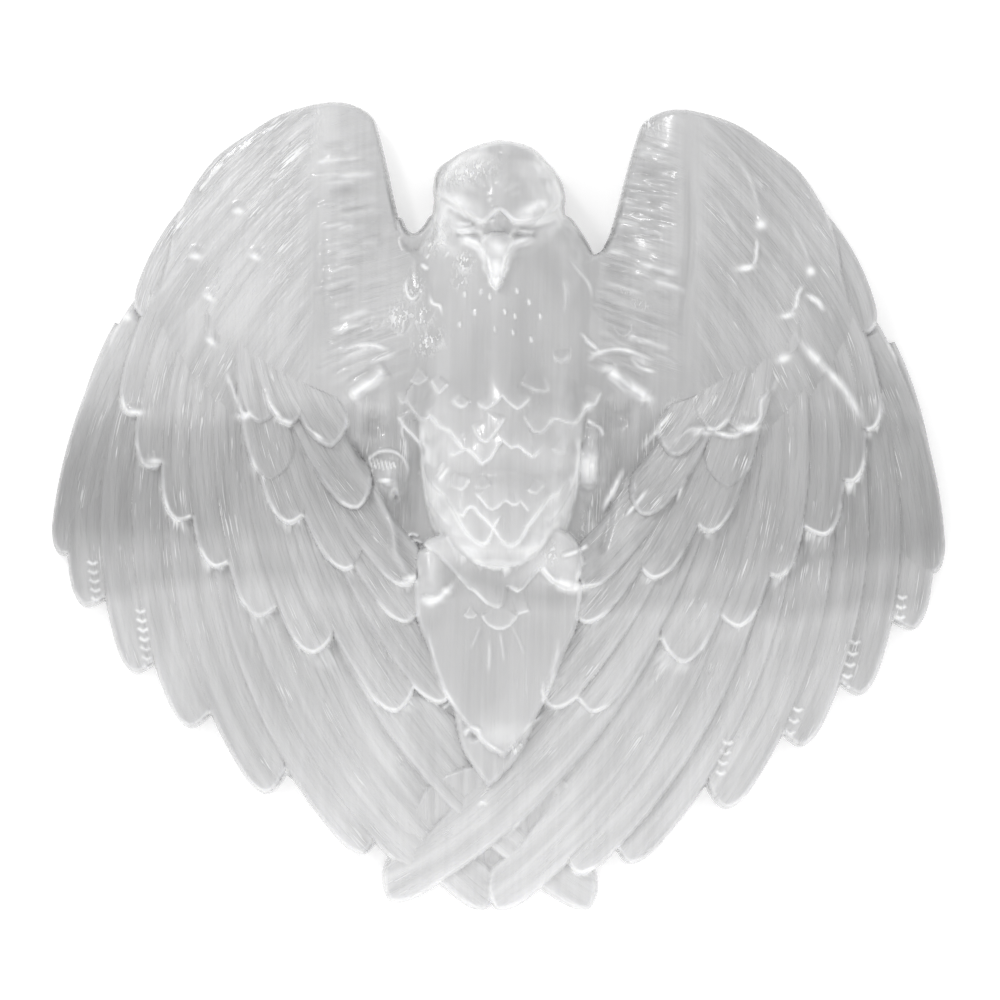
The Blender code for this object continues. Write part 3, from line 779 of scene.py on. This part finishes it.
px, py, wide, high = legs["knob"]
rim = [(px + wide * math.cos(t), py + high * math.sin(t)) for t in np.linspace(2.6, 7.4, 9)]
width, rise, shine = legs["knobLine"]
ridge(traced(rim), width, rise, shine=shine)
for i in range(legs["hatching"]):
    ridge(traced([(369 + 4 * i, 458 + i), (374 + 4 * i, 478 - abs(i - 3))]), *legs["hatchLine"], soft=False)
print("legs and feet carved")

# Wings' small marks, by the picture: tips that show only as hooks, loose edges, patches of painted glints as
# hairlines, cutter marks
wingMarks = {
    # small tips with a painted highlight: place, half length, half width, rise, turn
    "hooks": [(240, 217, 6, 3, 0.4, -10), (196, 261, 6, 3, 0.4, -10), (257, 262, 6, 3, 0.4, -20),
              (211, 303, 7, 3, 0.4, -30), (213, 347, 6, 3, 0.3, -40), (136, 417, 9, 3, 0.5, 0),
              (128, 322, 6, 4, 0.4, 20), (156, 466, 8, 3, 0.4, 0), (246, 420, 7, 4, 0.5, 10),
              (288, 427, 6, 3, 0.4, -20), (761, 229, 5, 5, 0.5, 0), (747, 273, 9, 3, 0.4, 8),
              (811, 276, 4, 4, 0.4, 0), (788, 320, 7, 3, 0.4, 15), (783, 363, 7, 4, 0.5, 20),
              (868, 438, 4, 5, 0.4, 0), (748, 433, 14, 4, 0.4, 10), (705, 436, 14, 4, 0.3, 0)],
    # feather edges that the fan doesn't have: places, width, rise, and shine where it differs
    "edges": [([(803, 298), (817, 306), (826, 318)], 0.5, 0.7),
              ([(806, 287), (798, 298), (795, 312), (787, 320)], 0.35, 0.5),
              ([(793, 328), (798, 342), (809, 356), (826, 373), (841, 390), (856, 414),
                (868, 438)], 0.75, 0.8),
              ([(757, 240), (757, 252), (754, 268), (744, 274)], 0.3, 0.4, 0.6),
              ([(225, 372), (234, 392), (242, 415), (254, 421), (266, 430)], 0.4, 0.6),
              ([(267, 392), (272, 409), (288, 428)], 0.4, 0.6),
              ([(303, 427), (314, 436), (328, 446)], 0.3, 0.4),
              ([(784, 375), (771, 394), (761, 406), (759, 424), (748, 433), (732, 440), (710, 435),
                (693, 433), (680, 441), (666, 453)], 0.45, 0.7),
              ([(732, 155), (748, 180), (757, 205), (762, 222)], 0.4, 0.25, 0.25),
              ([(640, 455), (655, 438), (668, 418)], 0.4, 0.4),
              ([(700, 185), (722, 212), (743, 248)], 0.5, 0.2, 0.1),
              ([(600, 520), (612, 498), (626, 470)], 0.5, 0.5),
              ([(790, 227), (802, 248), (811, 270)], 0.3, 0.2, 0.25),
              ([(622, 525), (636, 508), (650, 490)], 0.4, 0.4),
              ([(206, 300), (178, 330), (150, 372)], 0.5, 0.1, 0.12),
              ([(690, 478), (682, 490), (676, 508)], 0.3, 0.4),
              ([(195, 262), (165, 292), (138, 322)], 0.5, 0.12, 0.12)],
    # patches of painted glints, as bright hairlines: place, half length, half width, strength, turn
    "paintedGlints": [(203, 191, 10, 8, 0.9, 45), (222, 168, 22, 7, 0.9, 47), (250, 146, 22, 7, 0.9, 38),
                (277, 130, 20, 7, 0.9, 28), (303, 121, 18, 5, 0.7, 18), (290, 166, 30, 11, 0.9, 52),
                (268, 152, 15, 5, 0.6, 48), (255, 214, 13, 6, 0.8, 65), (286, 250, 26, 8, 0.6, 55),
                (292, 279, 16, 6, 0.5, 52), (176, 234, 30, 7, 0.9, 50), (190, 286, 18, 6, 0.6, 55),
                (165, 380, 22, 6, 0.6, 52), (200, 378, 18, 6, 0.6, 55), (154, 408, 20, 6, 0.6, 58),
                (184, 416, 30, 6, 0.7, 55), (222, 505, 14, 12, 0.5, 60), (466, 180, 24, 10, 1.0, 15),
                (652, 126, 9, 8, 1.0, 0), (663, 430, 22, 8, 0.9, 60), (650, 442, 16, 6, 0.6, 55),
                (765, 190, 10, 6, 0.5, -40), (590, 520, 8, 30, 0.8, -12), (464, 268, 9, 9, 1.0, 0),
                (423, 322, 9, 9, 1.0, 0), (400, 322, 8, 12, 1.0, 0), (430, 347, 13, 9, 1.0, 30),
                (438, 245, 10, 16, 0.8, -30), (461, 286, 7, 5, 0.9, 0), (415, 293, 8, 14, 0.6, 0),
                (742, 466, 9, 8, 0.8, 0), (552, 558, 8, 10, 0.7, 0), (398, 465, 6, 20, 0.5, 0),
                (880, 400, 8, 26, 0.5, -70), (640, 310, 8, 4, 0.5, -20), (626, 296, 8, 3, 0.4, -20),
                (855, 660, 7, 24, 0.5, 0)],
    # rows of cutter marks in the valleys: first and last place, how many
    "marks": [((94, 566), (98, 602), 5), ((142, 614), (150, 670), 7), ((902, 600), (899, 630), 4),
              ((855, 645), (845, 690), 5), ((798, 712), (790, 735), 3), ((728, 745), (721, 775), 4)],
    "markLine": (0.3, 0.4),       # width and rise of a mark
}
for px, py, long, wide, rise, turn in wingMarks["hooks"]:
    bump(*onStone(px, py - 3), long * slab["pixel"], 2 * wide * slab["pixel"], rise, shine=0)
    patches(paintedHighlight, [(px, py, long, wide, 1.0, turn)])
ridges(wingMarks["edges"])
patches(paintedGlints, wingMarks["paintedGlints"])
for first, last, count in wingMarks["marks"]:
    for px, py in np.linspace(first, last, count):
        ridge(traced([(px - 6, py - 2), (px, py + 2), (px + 6, py - 1)]), *wingMarks["markLine"], taper=0.2)
print("wings' small marks carved")

# Tail's small marks, by the picture
tailMarks = {
    # places, width, rise, shine
    "lines": [([(467, 741), (467, 735), (472, 731), (479, 733), (481, 739)], 0.45, 0.8, 1.0),
              ([(482, 742), (489, 748), (496, 752), (505, 757)], 0.4, 0.6, 1.0),
              ([(490, 640), (490, 660), (489, 680)], 0.3, 0.2, 0.3),
              ([(470, 655), (477, 640), (482, 628)], 0.25, 0.2, 0.3),
              ([(512, 628), (520, 645), (526, 662)], 0.25, 0.2, 0.3),
              ([(500, 632), (503, 650), (505, 668)], 0.25, 0.2, 0.3),
              ([(546, 682), (543, 694), (547, 704), (544, 716)], 0.35, 0.5, 0.8),
              ([(520, 742), (532, 727), (545, 716)], 0.4, 0.4, 0.6),
              ([(428, 625), (433, 655), (443, 690), (452, 712)], 0.3, 0.2, 0.5),
              ([(442, 714), (448, 708), (452, 704)], 0.35, 0.3, 0.9),
              ([(560, 640), (556, 665), (549, 685)], 0.4, 0.3, 0.35),
              ([(545, 800), (520, 825), (497, 850)], 0.35, 0.2, 0.7),
              ([(476, 810), (484, 806), (490, 810)], 0.3, 0.2, 0.6)],
    "bumps": [(475, 739, 0.8, 0.7, -0.8), (517, 750, 1.3, 1.5, 0.5), (500, 700, 2.5, 3.5, -0.4),
              (500, 738, 4.0, 2.4, 0.4)],
    # patches of painted glints: place, half length, half width, strength, turn
    "paintedGlints": [(517, 750, 9, 6, 1.0, 40), (548, 700, 5, 14, 0.7, 0)],
    # patch of painted highlight: place, half length, half width, strength, turn
    "highlightPatches": [(517, 752, 8, 6, 0.45, 40)],
}
ridges(tailMarks["lines"])
patches(paintedGlints, tailMarks["paintedGlints"])
patches(paintedHighlight, tailMarks["highlightPatches"])
bumps(tailMarks["bumps"])
print("tail's small marks carved")
height = np.clip(height, None, cadBox[1][2] / mm - slab["below"])

# The mesh: a grid lifted to the heights, cut off at the back, closed there and thinned
stone = {
    "name": "carvedEagle",
    "smoothAngle": 50.0,
}
bpy.ops.object.select_all(action="DESELECT")
bpy.ops.mesh.primitive_grid_add(x_subdivisions=columns - 1, y_subdivisions=rows - 1, size=2)
eagle = bpy.context.object
eagle.name = stone["name"]
flat = np.empty(len(eagle.data.vertices) * 3)
eagle.data.vertices.foreach_get("co", flat)
flat = flat.reshape(-1, 3)
columnOf = np.rint((flat[:, 0] + 1) / 2 * (columns - 1)).astype(int)
rowOf = np.rint((flat[:, 1] + 1) / 2 * (rows - 1)).astype(int)
flat[:, 0] = gridX[rowOf, columnOf] * mm
flat[:, 1] = (gridUp[rowOf, columnOf] + slab["lift"]) * mm
flat[:, 2] = height[rowOf, columnOf] * mm
eagle.data.vertices.foreach_set("co", flat.ravel())
eagle.data.update()
print("sheet shaped,", len(flat), "places")

bpy.ops.object.mode_set(mode="EDIT")
bpy.ops.mesh.select_all(action="SELECT")
bpy.ops.mesh.bisect(plane_co=(0, 0, 0), plane_no=(0, 0, 1), clear_inner=True)
bpy.ops.mesh.select_all(action="DESELECT")
bpy.ops.mesh.select_mode(type="EDGE")
bpy.ops.mesh.select_non_manifold(extend=False)
bpy.ops.mesh.fill()
bpy.ops.mesh.select_all(action="SELECT")
bpy.ops.mesh.normals_make_consistent(inside=False)
bpy.ops.object.mode_set(mode="OBJECT")
count = sum(len(face.vertices) - 2 for face in eagle.data.polygons)
print("back cut flat,", count, "triangles")
thin = eagle.modifiers.new("thin", "DECIMATE")
thin.ratio = min(1.0, slab["triangles"] / count)
thin.use_collapse_triangulate = True
bpy.ops.object.modifier_apply(modifier="thin")
settled = np.empty(len(eagle.data.vertices) * 3)
eagle.data.vertices.foreach_get("co", settled)
settled = np.clip(settled.reshape(-1, 3), cadBox[0], cadBox[1])     # thinning can push a place out a hair
eagle.data.vertices.foreach_set("co", settled.ravel())
bpy.ops.object.shade_smooth_by_angle(angle=math.radians(stone["smoothAngle"]))
print("thinned to", len(eagle.data.polygons), "triangles")


def blurred(values, times):
    for _ in range(times):
        values = (np.roll(values, 1, 0) + 2 * values + np.roll(values, -1, 0)) / 4
        values = (np.roll(values, 1, 1) + 2 * values + np.roll(values, -1, 1)) / 4
    return values


# Masks for the finish, among them painted highlights on the steps and painted shade along the rim and in
# hollows. A pair is where a mask starts or ends, and the width over which it fades
masks = {
    "stoneUp": 2.0,               # lower than this there is no stone
    "step": (0.8, 1.4),           # slope of a carved step
    # strength of the painted highlight on a step
    "stepHighlightStrength": 1.45,
    "notchUp": (38, 6),           # painted shade on the notches' walls, darker further in
    "notchWide": (29, 4),
    "rimUp": (15, 30),            # the painted shade along the rim is darker towards the head
    "neckEdge": 14,               # at these two lines, beside the neck and on the wings' tops, the
    "leadingEdge": 31,            # cutter strokes change direction, and fade out on both sides
    "fade": 3,
    "neckEdgeUp": 14,
    "neckUp": (20, 5),
    "bodyHalf": (15.5, 2),        # the body has fainter strokes
    "bodyUp": (-46, 4),
    "bodyLess": 0.75,
    "hollowShade": 1.2,                # depth under the surroundings where the painted shade in a hollow is darkest
}


def fadeIn(value, key):
    start, run = masks[key]
    return ease((value - start) / run)


def fadeOut(value, key):
    end, run = masks[key]
    return ease((end - value) / run)


slopeUp, slopeX = np.gradient(height, slab["cell"])
slope = np.hypot(slopeX, slopeUp)
offStone = (height < masks["stoneUp"]).astype(float)
fromMiddle = np.abs(gridX)
plain = owner == 0                            # no feather on top
outside = blurred(offStone, 8)
# painted highlight on the carved steps, brightest on steps that face down the stone, towards the low lamp
stepHighlightMask = np.clip((slope - masks["step"][0]) / masks["step"][1], 0, 1) * np.clip(1 - outside * 6, 0, 1)
facing = 0.6 + 0.4 * slopeUp / np.maximum(slope, 0.01)
stepHighlightMask = np.maximum(blurred(stepHighlightMask * facing * stepHighlightGain * masks["stepHighlightStrength"], 1), paintedHighlight)

# painted shade along the outline's walls, and deeper in the notches
inNotch = fadeIn(gridUp, "notchUp") * fadeOut(fromMiddle, "notchWide")
rimShade = np.clip(blurred(offStone, 5) * 3, 0, 1) * (0.45 + 0.55 * fadeIn(gridUp, "rimUp"))
rimShade = np.maximum(rimShade, inNotch * np.clip(blurred(offStone, 14) * 4 - 0.2, 0, 1))

strokeMask = np.where(plain, ease(np.abs(fromMiddle - masks["leadingEdge"]) / masks["fade"]), 1.0)
nearNeck = np.where(gridUp > masks["neckUp"][0], 0.4 * fadeIn(gridUp, "neckUp"), fadeOut(gridUp, "neckUp"))
strokeMask = np.where(plain & (fromMiddle < masks["leadingEdge"]), strokeMask * nearNeck, strokeMask)
onBody = fadeOut(fromMiddle, "bodyHalf") * plain * fadeIn(gridUp, "bodyUp")
strokeMask = strokeMask * (1 - masks["bodyLess"] * onBody)
beside = ease((np.abs(fromMiddle - masks["neckEdge"]) - 0.5) / masks["fade"])
strokeMask = np.where(plain & (gridUp > masks["neckEdgeUp"]), strokeMask * beside, strokeMask)

# painted shade in hollows, darker the deeper they lie under their surroundings
hollowShadeMask = np.clip((blurred(height, 24) - height) / masks["hollowShade"], 0, 1) * np.clip(1 - outside * 3, 0, 1)

points = np.empty(len(eagle.data.vertices) * 3)
eagle.data.vertices.foreach_get("co", points)
points = points.reshape(-1, 3) / mm
pointUp = points[:, 1] - slab["lift"]
front = points[:, 2] > 0.01
for key, shares in {"stepHighlight": stepHighlightMask, "hollowShade": hollowShadeMask, "rim": rimShade, "strokeDepth": strokeMask,
                    "paintedGlints": paintedGlints}.items():
    attribute = eagle.data.attributes.new(key, "FLOAT", "POINT")
    attribute.data.foreach_set("value", (sampled(shares, points[:, 0], pointUp) * front).astype(np.float32))

# UV: across and along the feather that is on top, so that strokes follow it
faces = np.empty(len(eagle.data.polygons) * 3, dtype=int)
eagle.data.polygons.foreach_get("vertices", faces)
faces = faces.reshape(-1, 3)
middle = points[faces].mean(axis=1)
nearRow = np.clip(np.rint((middle[:, 1] + slab["halfHigh"]) / slab["cell"]).astype(int), 0, rows - 1)
nearColumn = np.clip(np.rint((middle[:, 0] + slab["halfWide"]) / slab["cell"]).astype(int), 0, columns - 1)
faceOwner = owner[nearRow, nearColumn]
corner = points[faces.ravel()]
cornerOwner = np.repeat(faceOwner, 3)
strokes = np.stack([corner[:, 0], corner[:, 1] - slab["lift"]], axis=1)
# on the wings' tops they follow the leading edge, and beside the neck they run outwards
sweepMiddle, sweepReach = (-32.7, -17.7), 107.0      # of the arc that a wing's leading edge follows
middleX = np.repeat(np.abs(middle[:, 0]), 3)
wingTop = (cornerOwner == 0) & (middleX > masks["leadingEdge"]) & (np.abs(corner[:, 2]) > 0.5)
byNeck = (cornerOwner == 0) & (middleX > masks["neckEdge"]) & ~wingTop
byNeck &= np.repeat(middle[:, 1], 3) > masks["neckUp"][0]
sides = np.sign(strokes[:, 0])
reachX, reachUp = sides * strokes[:, 0] - sweepMiddle[0], strokes[:, 1] - sweepMiddle[1]
swept = np.stack([np.hypot(reachX, reachUp), sweepReach * np.arctan2(reachUp, reachX)], 1)
outwards = np.stack([strokes[:, 1] + 0.3 * sides * strokes[:, 0], strokes[:, 0]], 1)
strokes = np.where(wingTop[:, None], swept, np.where(byNeck[:, None], outwards, strokes))
for number in range(1, len(feathers)):
    mine = cornerOwner == number
    if mine.any():
        back, across = featherPlace(feathers[number], corner[mine, 0], corner[mine, 1] - slab["lift"])
        strokes[mine, 0] = across + 17.3 * number
        strokes[mine, 1] = back
uv = eagle.data.uv_layers.new(name="strokes")
uv.data.foreach_set("uv", (strokes * 0.01).astype(np.float32).ravel())      # 1 in the map is 100 mm
print("masks and stroke map written")


def newMaterial(name):
    made = bpy.data.materials.new(name)
    made.use_nodes = True
    return made, made.node_tree.nodes, made.node_tree.links, made.node_tree.nodes["Principled BSDF"]


finish = {
    "tone": (0.455, 0.455, 0.458),
    # colour of the painted highlights and glints
    "highlightWhite": (0.96, 0.965, 0.97),
    # brightness by millimetres up the stone, in paler and dimmer bands
    "zones": [(-70, 1.58), (-50, 1.46), (-32, 1.26), (-20, 1.20), (-16, 1.24), (-13, 1.04), (-9, 1.08),
              (-5, 0.96), (6, 0.94), (13, 1.04), (17, 1.26), (30, 1.27), (66, 1.40)],
    "zoneReach": 70,
    "wander": 0.012,              # how far the zones' edges wander, in metres as all that follows
    # brighter and dimmer parts, each fading in from one place to another: away from the middle, across to the
    # right, or up. The outer ends and the far wing are darkened as painted shade; the belly is paler and the
    # throat darker
    "parts": {
        "shadedOuterEnds": (0.84, ("away", 0.030, 0.062), ("up", -0.004, 0.004), ("up", 0.036, 0.016)),
        "belly": (1.40, ("away", 0.014, 0.010), ("up", 0.030, 0.015), ("up", -0.007, -0.002)),
        "shadedFarWing": (0.87, ("across", -0.01, 0.035), ("up", 0.014, 0.026)),
        "throat": (0.90, ("away", 0.024, 0.010), ("up", 0.016, 0.024)),
    },
    # gains of the painted shade in hollows and along the rim, and of the tone dimmed under the painted glints
    "hollowShade": 0.84,
    "rim": 0.58,
    "dimUnderGlints": 0.87,
    "roughness": 0.26,
    "refraction": 1.52,
    "milkiness": 0.35,
    "milkyReach": 0.0014,
    "polish": (0.35, 0.10),       # weight and roughness of the polish
    "grooveDepth": 0.0005,
}
selenite, nodes, links, shader = newMaterial("seleniteSatin")


def mathNode(operation, first, second=None, third=None):
    made = nodes.new("ShaderNodeMath")
    made.operation = operation
    for i, value in enumerate((first, second, third)):
        if isinstance(value, (int, float)):
            made.inputs[i].default_value = value
        elif value is not None:
            links.new(value, made.inputs[i])
    return made.outputs[0]


def spread(value, low, high, toLow=0.0, toHigh=1.0):
    made = nodes.new("ShaderNodeMapRange")
    made.interpolation_type = "SMOOTHSTEP"
    for name, number in (("From Min", low), ("From Max", high), ("To Min", toLow), ("To Max", toHigh)):
        made.inputs[name].default_value = number
    links.new(value, made.inputs["Value"])
    return made.outputs["Result"]


def times(first, *others):
    for other in others:
        first = mathNode("MULTIPLY", first, other)
    return first


def gained(share, gain):
    # 1 where the share is 0, and the gain where it is 1
    return mathNode("MULTIPLY_ADD", share, gain - 1, 1.0)


def noise(vector, scale, detail=2.0, stretch=(1, 1, 1)):
    mapping = nodes.new("ShaderNodeMapping")
    mapping.inputs["Scale"].default_value = stretch
    links.new(vector, mapping.inputs["Vector"])
    made = nodes.new("ShaderNodeTexNoise")
    made.inputs["Scale"].default_value = scale
    made.inputs["Detail"].default_value = detail
    links.new(mapping.outputs[0], made.inputs["Vector"])
    return made.outputs["Fac"]


def mask(name):
    made = nodes.new("ShaderNodeAttribute")
    made.attribute_name = name
    return made.outputs["Fac"]


# Where on the stone: in metres, and along the strokes
place = nodes.new("ShaderNodeTexCoord").outputs["Object"]
strokeMap = nodes.new("ShaderNodeUVMap")
strokeMap.uv_map = "strokes"
strokePlace = strokeMap.outputs["UV"]
strokeDepth = mask("strokeDepth")
split = nodes.new("ShaderNodeSeparateXYZ")
links.new(place, split.inputs[0])
wander = mathNode("MULTIPLY_ADD", noise(place, 30.0, 2.0, (1, 1.5, 1)), finish["wander"], split.outputs["Y"])
ways = {"away": mathNode("ABSOLUTE", split.outputs["X"]), "across": split.outputs["X"], "up": wander}

# The pale and dim zones, on a ramp that runs from the lowest to the highest
zones = nodes.new("ShaderNodeValToRGB")
ramp = zones.color_ramp
for i, (up, tone) in enumerate(finish["zones"]):
    position = (up / finish["zoneReach"] + 1) / 2
    stop = ramp.elements[i] if i < 2 else ramp.elements.new(position)
    stop.position = position
    stop.color = (tone / 2, tone / 2, tone / 2, 1)
reach, shift = finish["zoneReach"] * mm, finish["wander"] / 2
zonePlace = spread(wander, shift - reach, shift + reach)
zonePlace.node.interpolation_type = "LINEAR"
links.new(zonePlace, zones.inputs["Fac"])

# The stone's tone: fibres, clouds, painted shade in hollows and along the rim, the tone dimmed under the
# painted glints, its brighter and dimmer parts, and broad strokes on the feathers
fibre = noise(place, 1.0, 1.0, (1300, 38, 300))
cloud = noise(place, 70.0, 2.0, (1, 0.6, 1))
sweep = noise(strokePlace, 1.0, 1.0, (55, 4, 1))
# the painted glint patches, on the wings and off them; the tone under them is dimmed so the glints stand out
onWing = times(mask("paintedGlints"), spread(strokeDepth, 0.4, 0.8))
offWing = times(mask("paintedGlints"), spread(strokeDepth, 0.8, 0.4))
toneFactor = times(spread(fibre, 0.25, 0.75, 0.975, 1.025), spread(cloud, 0.3, 0.7, 0.94, 1.06),
                   gained(mask("hollowShade"), finish["hollowShade"]), gained(mask("rim"), finish["rim"]),
                   gained(onWing, finish["dimUnderGlints"]),
                   mathNode("MULTIPLY_ADD", spread(sweep, 0.3, 0.7, -0.07, 0.09), strokeDepth, 1.0))
for gain, *fades in finish["parts"].values():
    share = times(*(spread(ways[way], start, end) for way, start, end in fades))
    toneFactor = times(toneFactor, gained(share, gain))
toneUp = nodes.new("ShaderNodeVectorMath")
toneUp.operation = "MULTIPLY"
toneUp.inputs[1].default_value = tuple(2 * part for part in finish["tone"])
links.new(zones.outputs["Color"], toneUp.inputs[0])
toned = nodes.new("ShaderNodeVectorMath")
toned.operation = "SCALE"
links.new(toneUp.outputs[0], toned.inputs[0])
links.new(toneFactor, toned.inputs["Scale"])

# Fine cutter strokes along the feathers: soft grooves all over, and patches of painted glints as bright
# hairlines
groove = noise(strokePlace, 1.0, 2.0, (130, 9, 1))
hairNoise = noise(strokePlace, 1.0, 1.0, (430, 15, 1))
hair = spread(mathNode("MULTIPLY_ADD", onWing, 0.14, hairNoise), 0.60, 0.64)
scattered = times(spread(noise(strokePlace, 1.0, 2.0, (22, 9, 1)), 0.50, 0.64), strokeDepth)
glintSpecks = spread(noise(place, 1.0, 1.0, (2400, 1300, 300)), 0.50, 0.58)
glintLines = times(hair, mathNode("MAXIMUM", times(scattered, 0.55), onWing))
glintLines = mathNode("MAXIMUM", glintLines, times(offWing, glintSpecks))

# Painted highlights: the carved steps and raised lines, and the glint hairlines, are mixed towards white
paintedStepLines = times(mask("stepHighlight"), spread(noise(place, 260.0, 1.0), 0.35, 0.60, 0.6, 1.3))
whiteness = mathNode("MINIMUM", mathNode("MAXIMUM", paintedStepLines, glintLines), 1.0)
whiten = nodes.new("ShaderNodeMix")
whiten.data_type = "RGBA"
links.new(whiteness, whiten.inputs["Factor"])
links.new(toned.outputs[0], whiten.inputs["A"])
whiten.inputs["B"].default_value = (*finish["highlightWhite"], 1)
links.new(whiten.outputs["Result"], shader.inputs["Base Color"])

grooves = nodes.new("ShaderNodeBump")
relief = mathNode("ADD", times(groove, strokeDepth), times(glintLines, 0.5))
grooves.inputs["Strength"].default_value = 0.8
grooves.inputs["Distance"].default_value = finish["grooveDepth"]
links.new(relief, grooves.inputs["Height"])
links.new(grooves.outputs["Normal"], shader.inputs["Normal"])
shader.inputs["Roughness"].default_value = finish["roughness"]
shader.inputs["IOR"].default_value = finish["refraction"]
shader.inputs["Subsurface Weight"].default_value = finish["milkiness"]
shader.inputs["Subsurface Radius"].default_value = (1.0, 1.0, 1.1)
shader.inputs["Subsurface Scale"].default_value = finish["milkyReach"]
shader.inputs["Coat Weight"].default_value = finish["polish"][0]
shader.inputs["Coat Roughness"].default_value = finish["polish"][1]
eagle.data.materials.append(selenite)

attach(eagle, "root")
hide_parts("eagle_carving")
print("stone finished")

# The stage: a pale floor just under the back
table = {"size": 3.0, "below": 0.0002, "tone": (0.93, 0.93, 0.93), "roughness": 0.9, "glow": 0.32}
bpy.ops.mesh.primitive_plane_add(size=table["size"], location=(0, 0, -table["below"]))
floor = bpy.context.object
floor.name = "floor"
floorMaterial, nodes, links, shader = newMaterial("paleFloor")
shader.inputs["Base Color"].default_value = (*table["tone"], 1)
shader.inputs["Roughness"].default_value = table["roughness"]
shader.inputs["Emission Color"].default_value = (1, 1, 1, 1)
shader.inputs["Emission Strength"].default_value = table["glow"]
floor.data.materials.append(floorMaterial)

# The camera looks straight down, turned as the picture is
camera = {"distance": 1.8, "aim": (0.0, 0.0014, 0.006), "pictureWidth": 1000, "sensor": 36}
cameraData = bpy.data.cameras.new("camera")
cameraObject = bpy.data.objects.new("camera", cameraData)
bpy.context.scene.collection.objects.link(cameraObject)
cameraObject.location = (camera["aim"][0], camera["aim"][1], camera["aim"][2] + camera["distance"])
cameraObject.rotation_euler = (0, 0, math.radians(slab["pictureTurn"]))
cameraData.sensor_width = camera["sensor"]
cameraData.lens = camera["sensor"] * camera["distance"] / (slab["pixel"] * mm * camera["pictureWidth"])
bpy.context.scene.camera = cameraObject

lights = {
    # name: place, size and power; each is aimed at the origin
    "over": ((-0.10, 0.35, 0.9), 0.9, 2.2),
    "low": ((0.0, -0.75, 0.28), 0.7, 2.0),
    "left": ((-0.75, -0.15, 0.30), 0.5, 0.7),
    "right": ((0.75, -0.15, 0.30), 0.5, 0.7),
    "glint": ((-0.45, 0.55, 0.75), 0.12, 1.2),
}
for name, (spot, size, power) in lights.items():
    bpy.ops.object.light_add(type="AREA", location=spot)
    lamp = bpy.context.object
    lamp.name = "light_" + name
    lamp.data.size = size
    lamp.data.energy = power
    direction = -np.array(spot)
    lamp.rotation_euler = (math.acos(-direction[2] / np.linalg.norm(direction)), 0,
                           math.atan2(direction[1], direction[0]) - math.pi / 2)

room = {"glow": 0.64}
world = bpy.data.worlds.new("softRoom")
bpy.context.scene.world = world
world.use_nodes = True
background = world.node_tree.nodes["Background"]
background.inputs["Color"].default_value = (1, 1, 1, 1)
background.inputs["Strength"].default_value = room["glow"]
bpy.context.scene.view_settings.view_transform = "Standard"

bpy.context.view_layer.update()
print("stage, camera and lights set")
